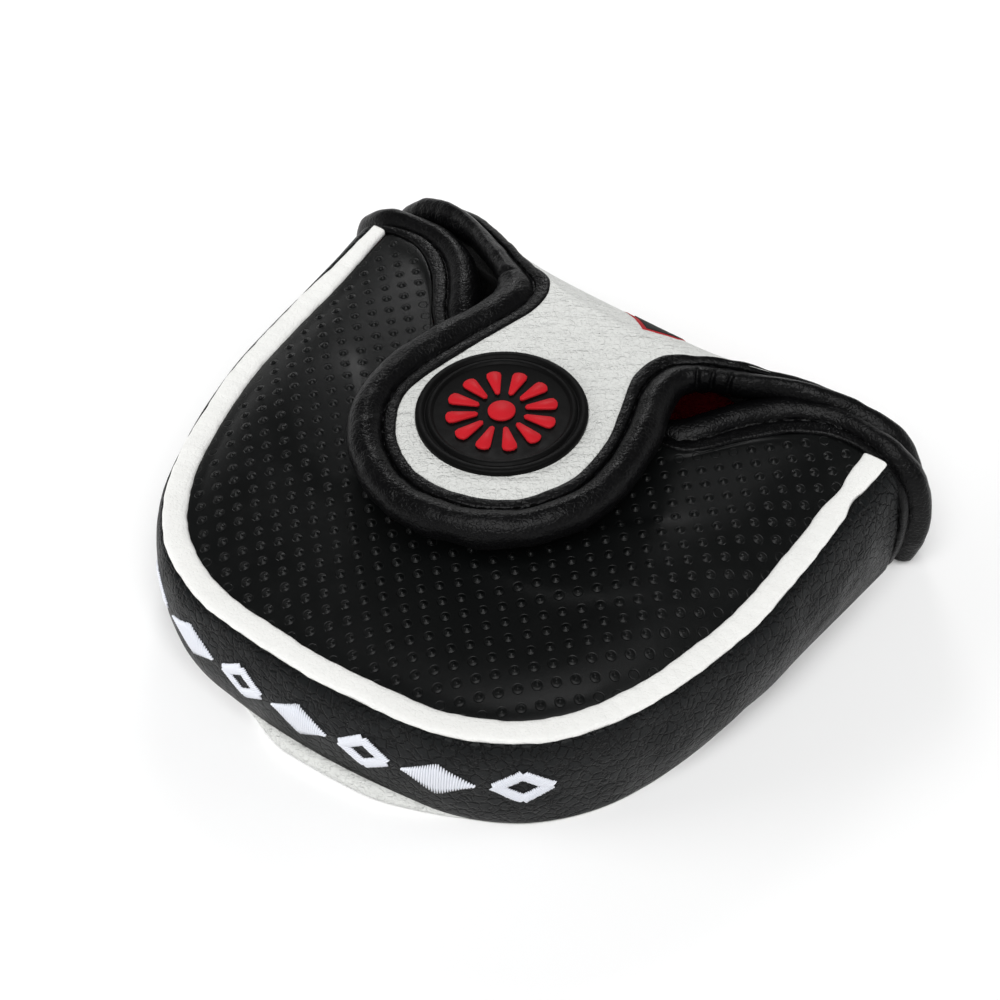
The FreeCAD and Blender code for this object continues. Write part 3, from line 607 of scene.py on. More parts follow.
def sole_pad():
    """The sole as one closed pad: flat below, its edge turned up to the band and rolled out at the rear."""
    at = np.linspace(-RIM_END, RIM_END, 401)
    sides = rim(at)
    out = lip(at)
    reach = np.interp(np.abs(at), BAND_AT, BAND_FOOT) - 0.1 + 3.2 * out
    rise = lower_seam(at)
    front_y = sole_front - 0.2
    half = HALF_WIDTH + reach[-1]
    turn = np.linspace(0, math.pi / 2, 9)
    corner = 4.0
    bend = np.column_stack([half - corner + corner * np.cos(turn), front_y - corner + corner * np.sin(turn)])
    straight = np.column_stack([np.full(5, half), np.linspace(MOUTH_Y, front_y - corner, 7)[1:-1]])
    across = np.column_stack([np.linspace(half - corner, -half + corner, 71)[1:-1], np.full(69, front_y)])
    front = np.vstack([straight, bend, across, bend[::-1] * (-1, 1), straight[::-1] * (-1, 1)])
    front_rise = np.full(len(front), rise[-1])
    centre = np.array([0.0, -38.0])
    rings = []
    turned_up = ((2.6, 0.98), (1.1, 1.0), (0.35, 0.86), (0.0, 0.52), (0.15, 0.25), (0.8, 0.04), (2.4, 0.0))
    for inset, share in turned_up:
        edge = sides[:, :2] + sides[:, 2:4] * (reach - inset * (0.45 + 0.55 * out))[:, None]
        inner = front - unit(front - centre) * inset * 0.45
        rings.append(np.column_stack([np.vstack([edge, inner]), np.concatenate([rise, front_rise]) * share]))
    for k in (0.93, 0.8, 0.62, 0.42, 0.2, 0.05):
        flat = centre + (rings[6][:, :2] - centre) * k
        rings.append(np.column_stack([flat, np.zeros(len(flat))]))
    inner = []
    for k in (0.05, 0.35, 0.7, 0.97):
        flat = centre + (rings[0][:, :2] - centre) * k
        inner.append(np.column_stack([flat, np.full(len(flat), 1.5)]))
    return capped(np.array(inner + rings))


sole = make_mesh("sole_skin", *sole_pad(), WHITE, "shell")
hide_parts("sole_leather")

# ---- top panel
# mouth seam, right half, from the piping to the centre: the panel's front edge, scooped under the tongue
MOUTH_SEAM = [(54.4, 2.4), (52.8, 2.9), (49.8, 3.0), (46.2, 2.4), (43.0, 0.9), (39.6, -1.6), (36.6, -4.6),
              (33.6, -8.4), (30.2, -12.8), (26.0, -15.9), (18.0, -16.8), (9.0, -17.1), (0.0, -17.2)]


def open_curve(points, count):
    """A smooth open curve through control points, evenly resampled."""
    doubled = np.hstack([np.pad(np.asarray(points, float), ((0, 0), (0, 3 - len(points[0]))))] * 2)
    return catmull(doubled, count)[:, :len(points[0])]


def panel_outline():
    """The top panel's closed plan outline, and how many of its points lie along the rim."""
    at = np.linspace(-RIM_END + 0.4, RIM_END - 0.4, 261)
    sides = rim(at)
    edge = sides[:, :2] + sides[:, 2:4] * (0.5 - PIPING_HALF)
    right = open_curve(MOUTH_SEAM, 90)
    right = right[right[:, 0] < edge[-1, 0] - 0.2]
    left = right[::-1] * (-1, 1)
    return np.vstack([edge, right, left[1:]]), len(edge)


PANEL_EDGE, RIM_POINTS = panel_outline()


def line_distance(x, y, start, end):
    """Distance from points to the nearest of a set of straight edges."""
    best = np.full(np.shape(x), 1e9)
    for (ax, ay), (bx, by) in zip(start, end):
        dx, dy = bx - ax, by - ay
        t = np.clip(((x - ax) * dx + (y - ay) * dy) / (dx * dx + dy * dy + 1e-12), 0, 1)
        best = np.minimum(best, np.hypot(x - ax - t * dx, y - ay - t * dy))
    return best


def edge_distance(x, y):
    """Distance from points to the panel's outline."""
    return line_distance(x, y, PANEL_EDGE, np.roll(PANEL_EDGE, -1, axis=0))


def panel_height(x, y):
    """Top surface of the padded panel: sewn down along the rim, nearly flat elsewhere."""
    dome = 28.1 - (y + 3.0) ** 2 / 1080.0 - (x / 52.0) ** 2 * 1.1
    base = rim_height(y) - 0.25
    from_rim = line_distance(x, y, PANEL_EDGE[:RIM_POINTS - 1], PANEL_EDGE[1:RIM_POINTS])
    reach = np.clip(from_rim / 12.0, 0, 1)
    return base + np.maximum(dome - base, 0.2) * (1 - (1 - reach) ** 2.3)


# the panel's rings of points as shares of its outline; the first few are sewn down
PANEL_RINGS = (1.0, 0.99, 0.975, 0.955, 0.93, 0.90, 0.87, 0.83, 0.79, 0.74, 0.69, 0.63, 0.57, 0.5, 0.42, 0.34,
               0.25, 0.16, 0.07)
SEWN_RINGS = 3


def panel_pad():
    """The padded top panel as one closed pad."""
    centre = np.array([0.0, -58.0])
    upper = radial_cap(PANEL_EDGE, centre, PANEL_RINGS, panel_height)
    lower = radial_cap(PANEL_EDGE, centre, [0.985, 0.8, 0.5, 0.07], lambda x, y: rim_height(y) - 1.7)
    return close_pad(upper, lower)


panel_points, panel_faces = panel_pad()
top_panel = make_mesh("top_panel", panel_points, panel_faces, DOTTED, "shell")
inside_seam = np.arange(len(panel_points)) < (len(PANEL_RINGS) - SEWN_RINGS) * len(PANEL_EDGE)
stuff(top_panel, panel_points, inside_seam)
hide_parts("top_leather", "top_foam")


def dot_places():
    """Centres of the dots: a square lattice turned by 45 degrees, kept off the panel's edge."""
    row, column = np.mgrid[-40:41, -40:41].reshape(2, -1)
    places = np.stack([row - column, row + column], -1) * DOT_PITCH / math.sqrt(2) - (0, DOT_BACK)
    places = places[inside_polygon(places, PANEL_EDGE)]
    return places[edge_distance(places[:, 0], places[:, 1]) > DOT_MARGIN]


def inside_polygon(points, polygon):
    """Which points lie inside a closed polygon."""
    result = np.zeros(len(points), bool)
    for (ax, ay), (bx, by) in zip(polygon, np.roll(polygon, -1, axis=0)):
        crosses = (ay > points[:, 1]) != (by > points[:, 1])
        level = ax + (points[:, 1] - ay) * (bx - ax) / (by - ay + 1e-12)
        result ^= crosses & (points[:, 0] < level)
    return result


def surface_of(piece):
    """A tree for finding points on a piece's surface."""
    return BVHTree.FromPolygons([v.co.copy() for v in piece.data.vertices],
                                [tuple(p.vertices) for p in piece.data.polygons])


def drop_on(tree, x, y):
    """Point and normal of a surface under (x, y), in millimetres."""
    hit, normal, _, _ = tree.ray_cast(Vector((x * MM, y * MM, 0.1)), Vector((0, 0, -1)))
    return np.array(hit) / MM, np.array(normal)


def dots():
    """Raised dots that flow out of the panel's surface."""
    tree = surface_of(top_panel)
    points, faces = [], []
    segments = 12
    turn = np.arange(segments) * 2 * math.pi / segments
    for x, y in dot_places():
        centre, normal = drop_on(tree, x, y)
        side = unit(np.cross(normal, (0, 1, 0)))
        other = np.cross(normal, side)
        start = len(points)
        for share in (1.0, 0.8, 0.6, 0.4, 0.2):
            rise = DOT_HEIGHT * (0.5 + 0.5 * math.cos(math.pi * share)) - 0.015
            for angle in turn:
                flat = (side * math.cos(angle) + other * math.sin(angle)) * DOT_RADIUS * share
                points.append(centre + flat + normal * rise)
        points.append(centre + normal * (DOT_HEIGHT - 0.015))
        faces += loop_faces(5, segments, start)
        last = start + 4 * segments
        faces += [(last + k, last + (k + 1) % segments, start + 5 * segments) for k in range(segments)]
    return points, faces


panel_dots = make_mesh("panel_dots", *dots(), DOTTED, "shell")


# ---- padded bindings between two rails
# closed section of a binding: a flat stitched strip, a groove, then a stuffed roll; (share across, height)
ROLL_SECTION = [(0.0, -0.5), (0.015, 0.15), (0.06, 0.5), (0.2, 0.62), (0.31, 0.5), (0.35, 0), (0.385, 0.3),
                (0.43, 1.15), (0.52, 2), (0.65, 2.5), (0.8, 2.15), (0.92, 1.1), (0.99, -0.6), (0.98, -2.2),
                (0.88, -3.6), (0.68, -4.4), (0.45, -4), (0.25, -3), (0.08, -2), (0, -1.2)]
GROOVE = 0.35
SECTION = closed_curve(ROLL_SECTION, 60)


def roll_grid(rows, count):
    """Sections between an inner and an outer rail. Row: inner xyz, outer xyz, normal xyz, up, down, groove."""
    sampled = catmull(rows, count)
    grid = []
    for values in sampled:
        inner, outer, normal, up, down, groove = values[:3], values[3:6], values[6:9], *values[9:12]
        across = outer - inner
        normal = square_to(normal, across)
        share = np.where(SECTION[:, 0] < GROOVE, SECTION[:, 0] * groove / GROOVE,
                         groove + (SECTION[:, 0] - GROOVE) * (1 - groove) / (1 - GROOVE))
        height = np.where(SECTION[:, 1] > 0, SECTION[:, 1] * up, SECTION[:, 1] * down)
        grid.append(inner + share[:, None] * across + height[:, None] * normal)
    return np.array(grid), sampled


def soften(grid, seed, broad=0.14, fine=0.05):
    """Uneven stuffing: push each section in and out a little."""
    away = unit(grid - grid.mean(1, keepdims=True))
    push = wave_noise(grid, 11.0, seed) * broad + wave_noise(grid, 3.6, seed + 1) * fine
    return grid + away * push[..., None]


def pleats(grid, places, width, depth=0.9, low=0.5, high=1.0):
    """Narrow creases across a roll near given points, over the share of its section from low to high."""
    middle = grid.mean(1)
    length = run_along(middle)
    share = SECTION[:, 0]
    face = smooth(share, low, low + 0.15) * (1 - smooth(share, high - 0.1, high + 0.02))
    away = unit(grid - middle[:, None])
    for place in places:
        row = int(np.argmin(np.linalg.norm(middle - np.array(place), axis=1)))
        lean = (share - 0.6) * 1.6
        near = (length[:, None] - length[row] - lean) / width
        valley = np.exp(-near ** 2) - 0.45 * np.exp(-(near / 2.6) ** 2)
        grid = grid - away * (valley * face)[..., None] * depth
    return grid


def stitches(rails, pitch=2.9, length=2.0, radius=0.24, lift=0.10, start=2.0, stop=4.0):
    """A line of thread along a binding's groove: points and faces of separate rounded stitches."""
    groove = rails[:, 11:12]
    across = rails[:, 3:6] - rails[:, :3]
    normal = square_to(rails[:, 6:9], across)
    line = rails[:, :3] + across * (groove - 0.02) + normal * lift
    run = run_along(line)
    parts = []
    for begun in np.arange(start, run[-1] - stop, pitch):
        at = np.linspace(begun, begun + length, 5)
        path = np.stack([np.interp(at, run, line[:, k]) for k in range(3)], -1)
        up = np.stack([np.interp(at, run, normal[:, k]) for k in range(3)], -1)
        parts.append(thread(path, up, radius, (0.35, 0.9, 1.0, 0.9, 0.35), 0.12))
    return join_parts(parts)


def thread(path, up, radius, swell, bow, segments=6):
    """A short rounded thread along a path, a little bowed away from the surface."""
    side = unit(np.cross(unit(np.gradient(path, axis=0)), up))
    turn = np.arange(segments) * 2 * math.pi / segments
    rows = []
    for point, across, rise, size in zip(path, side, up, swell):
        middle = point + rise * bow * size
        rows.append([middle + (across * math.cos(a) + rise * math.sin(a)) * radius * size for a in turn])
    return tube(np.array(rows))


MOUTH_ROWS = [
    # inner rail             outer rail             normal           up    down  groove
    (58.6, 2.6, 1.3, 60, 9.4, 1.3, 1, 0.1, 0, 1.0, 0.8, 0.3),
    (59.8, 2.6, 6, 61.2, 9.6, 6, 1, 0.1, -0.1, 1.15, 0.8, 0.3),
    (60.6, 2.6, 12, 61.6, 9.8, 12, 1, 0.1, 0, 1.25, 0.9, 0.28),
    (60.6, 2.4, 17, 61.4, 9.8, 17.5, 1, 0.1, 0.15, 1.2, 1, 0.26),
    (59.9, 2.2, 20.5, 60, 9.6, 21.4, 0.95, 0, 0.35, 1.1, 1, 0.24),
    (58, 2, 23.4, 57.4, 9.4, 24.2, 0.8, 0, 0.6, 0.95, 1, 0.24),
    (55.6, 2.2, 25.5, 54.4, 9.2, 26, 0.55, 0, 0.85, 0.85, 1, 0.26),
    (52.8, 2.9, 26.2, 51.4, 9, 26.7, 0.3, 0, 0.95, 0.8, 1, 0.28),
    (49.8, 3, 0, 47.6, 9, 27.1, 0.15, 0, 1, 0.78, 0.9, 0.3),
    (46.2, 2.4, 0, 42.6, 8.8, 27.3, 0.05, 0, 1, 0.78, 0.9, 0.33),
    (43, 0.9, 0, 38.4, 7.6, 27.5, 0, 0, 1, 0.78, 0.8, 0.35),
    (39.6, -1.6, 0, 34.2, 5.4, 27.7, 0, 0, 1, 0.85, 0.8, 0.34),
    (36.6, -4.6, 0, 30.8, 2.4, 27.8, 0, 0, 1, 0.9, 0.8, 0.33),
    (33.6, -8.4, 0, 27.6, -1.2, 27.8, 0, 0, 1, 0.9, 0.7, 0.31),
    (30.2, -12.8, 0, 24.4, -5.6, 27.5, 0, 0, 1, 0.8, 0.6, 0.29),
    (26, -15.9, 0, 21.6, -9.2, 27, 0, 0, 1, 0.6, 0.5, 0.3),
    (18, -16.8, 0, 17, -11.4, 26.6, 0, 0, 1, 0.4, 0.5, 0.33),
    (9, -17.1, 0, 9, -11.8, 26.4, 0, 0, 1, 0.35, 0.5, 0.33),
    (0, -17.2, 0, 0, -12, 26.4, 0, 0, 1, 0.35, 0.5, 0.33)]


def both_sides(rows):
    """Control rows of the right-hand half, then the same rows reflected, back to the start."""
    rows = np.array(rows, float)
    left = rows.copy()
    left[:, [0, 3, 6]] *= -1
    return np.vstack([rows, left[::-1][1:]])


mouth_control = both_sides(MOUTH_ROWS)
on_panel = mouth_control[:, 2] == 0
mouth_control[on_panel, 2] = panel_height(mouth_control[on_panel, 0], mouth_control[on_panel, 1]) + 0.1
mouth_grid, mouth_rails = roll_grid(mouth_control, 520)
mouth_roll = make_mesh("mouth_roll", *tube(soften(mouth_grid, 21)), BINDING, "shell")
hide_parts("mouth_binding")
mouth_stitches = make_mesh("mouth_stitches", *stitches(mouth_rails), BLACK_THREAD, "shell")

TONGUE_Z = tongue_top + 0.2
TONGUE_CENTRE, TONGUE_IN = (1.1, -33.6), 18.15
ROLL_CENTRE, ROLL_OUT = (0.7, -33.8), 26.6


def tongue_row(angle):
    """Rails on the tongue's round end at an angle from +X, in degrees."""
    c, s = math.cos(math.radians(angle)), math.sin(math.radians(angle))
    return (TONGUE_CENTRE[0] + TONGUE_IN * c, TONGUE_CENTRE[1] + TONGUE_IN * s, TONGUE_Z,
            ROLL_CENTRE[0] + ROLL_OUT * c, ROLL_CENTRE[1] + ROLL_OUT * s, TONGUE_Z - 0.6,
            0.0, 0.0, 1.0, 0.85, 1.1, 0.27)


COVER_RIGHT = [
    # inner rail             outer rail              normal            up    down  groove
    (54.8, 13.2, 1.4, 59.6, 10, 1.4, 0.55, 0.85, 0, 0.8, 0.8, 0.3),
    (55, 14, 10, 60, 10, 10, 0.55, 0.85, 0, 0.9, 0.8, 0.3),
    (54.2, 14.8, 15.5, 59.2, 9.8, 17, 0.5, 0.8, 0.25, 1.0, 0.8, 0.28),
    (51.4, 15.2, 20.4, 56.2, 9.8, 21.8, 0.35, 0.65, 0.65, 1.05, 0.8, 0.26),
    (46.8, 14.4, 23.6, 51.2, 9, 25.2, 0.2, 0.45, 0.87, 1.1, 0.8, 0.26),
    (41.2, 12.8, 26.2, 45.5, 7.6, 27.2, 0.05, 0.3, 0.95, 1.1, 0.8, 0.26),
    (36, 10.4, 28.6, 39.5, 5.4, 28.6, 0, 0.2, 1, 1.1, 0.8, 0.26),
    (31, 7.4, 30.8, 34, 2.8, 29.7, 0, 0.15, 1, 1.05, 0.8, 0.26),
    (26.6, 4.4, 33, 28.8, -1, 30.6, 0.05, 0, 1, 1.0, 0.8, 0.27),
    (22.2, 1.2, 34.4, 25, -3.2, 31.6, 0, 0, 1, 0.9, 0.8, 0.29),
    (18.8, -0.9, TONGUE_Z, 23, -5, 32.4, 0, 0, 1, 0.85, 0.9, 0.31),
    (16, -2.6, TONGUE_Z, 22, -6.8, 32.9, 0, 0, 1, 0.85, 0.9, 0.32),
    (14.1, -4.9, TONGUE_Z, 21.9, -9, 33.3, 0, 0, 1, 0.85, 1, 0.31),
    (13.2, -8.4, TONGUE_Z, 22.5, -11.8, 33.6, 0, 0, 1, 0.85, 1.1, 0.29),
    (13.6, -12.4, TONGUE_Z, 23.5, -15.4, 33.9, 0, 0, 1, 0.85, 1.1, 0.27),
    (15, -16.6, TONGUE_Z, 25, -19.8, 34, 0, 0, 1, 0.85, 1.1, 0.27),
    (16.8, -21.7, TONGUE_Z, 26.2, -25, 34.1, 0, 0, 1, 0.85, 1.1, 0.27),
    (18.3, -26.6, TONGUE_Z, 26.9, -29.4, 34.1, 0, 0, 1, 0.85, 1.1, 0.27),
    (19.1, -31, TONGUE_Z, 27.2, -33.2, 34.1, 0, 0, 1, 0.85, 1.1, 0.27),
    tongue_row(-12), tongue_row(-28), tongue_row(-44), tongue_row(-60), tongue_row(-76), tongue_row(-90)]
COVER_LEFT = [
    (-54.8, 13.2, 1.4, -59.6, 10.2, 1.4, -0.55, 0.85, 0, 0.8, 0.8, 0.3),
    (-55, 14.2, 10, -60, 10.4, 10, -0.55, 0.85, 0, 0.9, 0.8, 0.3),
    (-54.4, 15.4, 16, -59, 10.4, 18, -0.5, 0.8, 0.25, 1.0, 0.8, 0.28),
    (-52, 16.2, 21, -56, 11, 23, -0.35, 0.65, 0.65, 1.05, 0.8, 0.26),
    (-47.8, 16.2, 24.6, -51.6, 11, 26, -0.2, 0.35, 0.9, 1.1, 0.8, 0.26),
    (-42.5, 15.4, 27.3, -45.6, 10.4, 27.8, 0, 0.2, 1, 1.1, 0.8, 0.26),
    (-36, 13.2, 28.8, -39.2, 8.4, 28.6, 0, 0.1, 1, 1.1, 0.8, 0.26),
    (-29.6, 9.8, 30.7, -33, 5.2, 29.4, 0, 0.1, 1, 1.05, 0.8, 0.26),
    (-24, 6.7, 32.3, -27.8, 2.2, 30.4, 0, 0, 1, 1.0, 0.8, 0.27),
    (-19.4, 4.3, 33.6, -24.2, -0.6, 31.4, 0, 0, 1, 0.9, 0.8, 0.29),
    (-15.6, 2.6, TONGUE_Z - 0.2, -22.4, -3, 32.1, 0, 0, 1, 0.85, 0.9, 0.29),
    (-13.2, 1.3, TONGUE_Z, -21.6, -5.4, 32.6, 0, 0, 1, 0.85, 0.9, 0.28),
    (-11.6, -1.2, TONGUE_Z, -21.3, -7.8, 33, 0, 0, 1, 0.85, 1, 0.27),
    (-11, -4.4, TONGUE_Z, -21.5, -10.4, 33.4, 0, 0, 1, 0.85, 1.1, 0.26),
    (-11.4, -8.8, TONGUE_Z, -22.2, -14.2, 33.7, 0, 0, 1, 0.85, 1.1, 0.26),
    (-12.4, -12.4, TONGUE_Z, -23.2, -18, 33.9, 0, 0, 1, 0.85, 1.1, 0.26),
    (-13.7, -17.4, TONGUE_Z, -24.4, -22.4, 34, 0, 0, 1, 0.85, 1.1, 0.26),
    (-15, -22.8, TONGUE_Z, -25.3, -26.8, 34.1, 0, 0, 1, 0.85, 1.1, 0.27),
    (-16.3, -28.2, TONGUE_Z, -25.8, -31, 34.1, 0, 0, 1, 0.85, 1.1, 0.27),
    tongue_row(-172), tongue_row(-154), tongue_row(-136), tongue_row(-120), tongue_row(-104), tongue_row(-90)]

cover_control = np.vstack([COVER_RIGHT, COVER_LEFT[::-1][1:]])
cover_grid, cover_rails = roll_grid(cover_control, 900)
cover_grid = soften(cover_grid, 31)
PLEATS_RIGHT = [(22.6, -5.4, 32.4), (24.6, -2.8, 32.2), (27.2, -0.4, 31.8)]
PLEATS_LEFT = [(-20.5, 0.2, 32.4)]
cover_grid = pleats(cover_grid, PLEATS_RIGHT, 0.55)
cover_grid = pleats(cover_grid, PLEATS_LEFT, 0.8)
cover_roll = make_mesh("cover_roll", *tube(cover_grid), BINDING)
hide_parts("back_binding_left", "back_binding_right", "flap_binding")
cover_stitches = make_mesh("cover_stitches", *stitches(cover_rails), BLACK_THREAD)


# ---- back panel and tongue in one sheet
# middle of the sheet (y, z), from the foot of the back panel over the crown; then it lies flat on the tongue
BACK_MIDDLE = [(12.6, 1.4), (11.6, 10), (10.2, 15.5), (8.6, 20.6), (8, 24.2), (7.2, 27), (5.9, 29.4),
               (4.3, 31.3), (2.5, 32.7), (0.7, 33.7), (-1, 34.3), (-2.7, 34.6), (-4.7, 34.8), (-7.4, 34.8)]


# how far the layers at the sheet's edge lean the way its middle faces, so that its outside hides them
EDGE_TILT = 1.2


def cover_sheet(lift, thick, reach, columns=81, rows=240):
    """Both faces of a sheet between the bindings, from the back panel's foot to the tongue's tip.

    Its outside is raised by lift, its inside is thick below, and its edges are reach past the inner rails."""
    right_rows, left_rows = np.array(COVER_RIGHT), np.array(COVER_LEFT)
    middle = (right_rows[:, :3] + left_rows[:, :3]) / 2
    offset = np.zeros((len(middle), 3))
    flat = len(BACK_MIDDLE)
    offset[:flat, 1:] = np.array(BACK_MIDDLE) - middle[:flat, 1:]
    right = catmull(right_rows, rows)
    left = catmull(left_rows, rows)
    bend = catmull(np.hstack([middle, middle, offset]), rows)[:, 6:9]
    surface, rises, edge_normal = [], [], []
    u = np.linspace(-1, 1, columns)
    for r, l, shift in zip(right, left, bend):
        span = r[:3] - l[:3]
        width = np.linalg.norm(span)
        out = span / max(width, 1e-6) * reach
        line = l[:3] - out + (span + 2 * out) * ((u[:, None] + 1) / 2)
        surface.append(line + shift * (1 - np.abs(u[:, None]) ** 4))
        rises.append((1 - np.abs(u) ** 8) * min(1.0, width / 20.0) - 0.3)
        normal = (r[6:9] + l[6:9]) * (0, 1, 1)
        edge_normal.append(unit(normal))
    surface, edge_normal = np.array(surface), np.array(edge_normal)
    climb = np.gradient(surface[:, columns // 2], axis=0)
    middle_normal = unit(np.column_stack([np.zeros(rows), climb[:, 2], -climb[:, 1]]))
    edge_normal = unit(edge_normal + EDGE_TILT * middle_normal)
    blend = (np.abs(u) ** 4)[None, :, None]
    normal = unit(edge_normal[:, None] * blend + middle_normal[:, None] * (1 - blend))
    return surface + np.array(rises)[..., None] * lift * normal, surface - thick * normal


def sheet_faces(outer, inner):
    """Points and faces of a closed sheet from its two sides."""
    return tube(np.concatenate([outer, inner[:, ::-1]], axis=1))


cover_outer, cover_inner = cover_sheet(0.5, 2.6, 1.4)
cover_pad = make_mesh("cover_pad", *sheet_faces(cover_outer, cover_inner), WHITE)
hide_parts("back_leather", "back_foam", "flap_leather", "flap_foam")

_, lining_outer = cover_sheet(0.0, 2.7, 1.1)
_, lining_inner = cover_sheet(0.0, 3.5, 1.1)
cover_lining = make_mesh("cover_lining", *sheet_faces(lining_outer, lining_inner), PLUSH)
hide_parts("back_lining", "flap_lining")


# the painted-shade sheets' front lies this far in front of the lining's, so that no red shows through it
PAINTED_SHADE_ROWS, PAINTED_SHADE_LEAN = slice(3, 112), 0.7
_, painted_shade_outer = cover_sheet(0.0, 2.65, 1.25)
_, painted_shade_inner = cover_sheet(0.0, 4.0, 1.25)


def painted_shade_sheet(side, start):
    """A black sheet of painted shade wrapped round one end of the lining, where it lies in shadow, from start
    outwards: side is 1 right, -1 left.
    """
    columns = np.flatnonzero(painted_shade_inner[PAINTED_SHADE_ROWS.start, :, 0] * side > start)
    back, front = painted_shade_outer[PAINTED_SHADE_ROWS, columns], painted_shade_inner[PAINTED_SHADE_ROWS, columns] - (0, PAINTED_SHADE_LEAN, 0)
    return tube(np.concatenate([back, front[:, ::-1]], axis=1))


# painted shade: black sheets over both ends of the red lining, where it lies in shadow
painted_shade_sheets = [make_mesh("painted_shade_right", *painted_shade_sheet(1, 30.0), BLACK_CLOTH_AND_SHADE),
           make_mesh("painted_shade_left", *painted_shade_sheet(-1, 22.0), BLACK_CLOTH_AND_SHADE)]


# ---- patch on the back of the crown
def inlay(name, corners, thick, look):
    """A thin patch laid on the crown.

    Corners are (x, angle): degrees back from the top, and past 90 down the wall, five to a millimetre."""
    tree = surface_of(cover_pad)
    outline = []
    for (ax, aa), (bx, ba) in zip(corners, corners[1:] + corners[:1]):
        steps = max(2, int(math.hypot(bx - ax, (ba - aa) / 5) / 0.7))
        outline += [(ax + (bx - ax) * k / steps, aa + (ba - aa) * k / steps) for k in range(steps)]
    outline = np.array(outline)
    centre = outline.mean(0)
    loops = []
    steps = [(1.0, -0.3), (1.0, thick * 0.6)] + [(share, thick) for share in (0.985, 0.8, 0.6, 0.4, 0.2, 0.03)]
    for share, rise in steps:
        loop = []
        for x, angle in centre + (outline - centre) * share:
            turn = math.radians(min(angle, 90))
            drop = max(0.0, angle - 90) / 5
            away = Vector((0, math.sin(turn), math.cos(turn)))
            axis = Vector((x * MM, -0.004, (22.5 - drop) * MM))
            hit = tree.ray_cast(axis + away * 0.03, -away)[0]
            loop.append(np.array(hit) / MM + np.array(away) * rise)
        loops.append(loop)
    piece = make_mesh(name, *capped(np.array(loops)), look, "back_panel")
    return piece


red_patch = inlay("red_patch", [(0.0, 50), (7.6, 20), (13.6, 33), (13.6, 150), (0.4, 150), (0.2, 95)], 0.14,
                  RED_CLOTH)
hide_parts("back_patch")
inlay("black_wedge", [(2.6, 46), (7.9, 23.5), (13.2, 35), (13.2, 92), (9.6, 92)], 0.24, BLACK_CLOTH_AND_SHADE)

for piece in (cover_roll, cover_stitches, cover_pad, cover_lining, *painted_shade_sheets):
    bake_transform(piece)


# ---- strip of leather that hinges the back panel
def hinge_strip():
    """A thin leather strip from under the sole's front edge to the back panel's foot."""
    profile = [(7.0, 0.12), (9.5, 0.12), (11.5, 0.12), (13.2, 0.35), (14.3, 1.2), (14.7, 2.6), (14.6, 4.6),
               (14.2, 4.6), (14.1, 2.7), (13.7, 1.5), (12.8, 0.85), (11.5, 0.7), (9.5, 0.7), (7.0, 0.7)]
    rows = [[(x, y, z) for y, z in profile] for x in np.linspace(-53.5, 53.5, 61)]
    return tube(np.array(rows))


hinge = make_mesh("hinge_strip", *hinge_strip(), WHITE)
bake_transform(hinge)


# ---- linings of the pouch
def wall_section(distance, y):
    """The plush wall's section, from the floor up to the top panel."""
    top = rim_height(y) - 1.7
    return [(0.4, 4.8), (0.4, top), (-0.5, top - 0.3), (-0.7, (top + 4.8) / 2), (-0.5, 4.8)]


wall_plush = make_mesh("wall_plush", *tube(swept_rim(BAND_STEPS, wall_section)), PLUSH, "shell")
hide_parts("band_lining")


def plush_sheet(name, low, high, front, node):
    """A plush sheet across the pouch between two heights given as functions of y."""
    at = np.linspace(-RIM_END, RIM_END, 201)
    sides = rim(at, -0.6)[:, :2]
    sides = sides[sides[:, 1] < front - 0.5]
    across = np.column_stack([np.linspace(sides[-1, 0], sides[0, 0], 61)[1:-1], np.full(59, front)])
    edge = np.vstack([sides, across])
    centre = np.array([0.0, -45.0])
    rings = [1.0, 0.9, 0.75, 0.6, 0.45, 0.3, 0.15, 0.05]
    upper = radial_cap(edge, centre, rings, lambda x, y: high(y))
    lower = radial_cap(edge, centre, rings, lambda x, y: low(y))
    piece = make_mesh(name, *close_pad(upper, lower), PLUSH, "shell")
    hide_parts(node)
    return piece


plush_sheet("floor_plush", lambda y: 4.0 + 0 * y, lambda y: 4.9 + 0 * y, 8.0, "sole_lining")
plush_sheet("ceiling_plush", lambda y: rim_height(y) - 2.6, lambda y: rim_height(y) - 1.75, -14.5,
            "top_lining")

# ---- badge
BADGE_X, BADGE_Y = (badge_low[0] + badge_high[0]) / 2, (badge_low[1] + badge_high[1]) / 2
BADGE_Z = TONGUE_Z + 0.2


def revolve(profile, segments, centre):
    """Points and faces of a profile of (radius, height) pairs turned about a vertical axis."""
    turn = np.arange(segments) * 2 * math.pi / segments
    circle = np.column_stack([np.cos(turn), np.sin(turn), np.zeros(segments)])
    return capped(np.array([circle * radius + (0, 0, height) for radius, height in profile]) + centre)


BADGE_PROFILE = [(2.0, -0.6), (13.0, -0.6), (14.7, -0.55), (15.0, -0.2), (15.0, 0.75), (14.85, 1.05),
                 (14.55, 1.2), (13.9, 1.22), (13.65, 1.1), (13.5, 0.85), (13.3, 0.78), (13.1, 0.85),
                 (12.95, 1.08), (12.7, 1.18), (12.3, 1.18), (12.1, 1.08), (11.95, 0.86), (11.7, 0.8),
                 (6.0, 0.8), (1.0, 0.8)]
BADGE_CENTRE = (BADGE_X, BADGE_Y, BADGE_Z)
badge = make_mesh("badge_disc", *revolve(BADGE_PROFILE, 128, BADGE_CENTRE), BLACK_RUBBER, "flap")
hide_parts("badge")


def prism(outline, low, high, bevel=0.12):
    """A closed flat solid from an outline, its upper edge eased."""
    outline = np.asarray(outline, float)
    eased = outline - unit(outline - outline.mean(0)) * bevel
    levels = ((outline, low), (outline, high - bevel), (eased, high))
    return capped(np.array([np.column_stack([edge, np.full(len(edge), height)]) for edge, height in levels]))


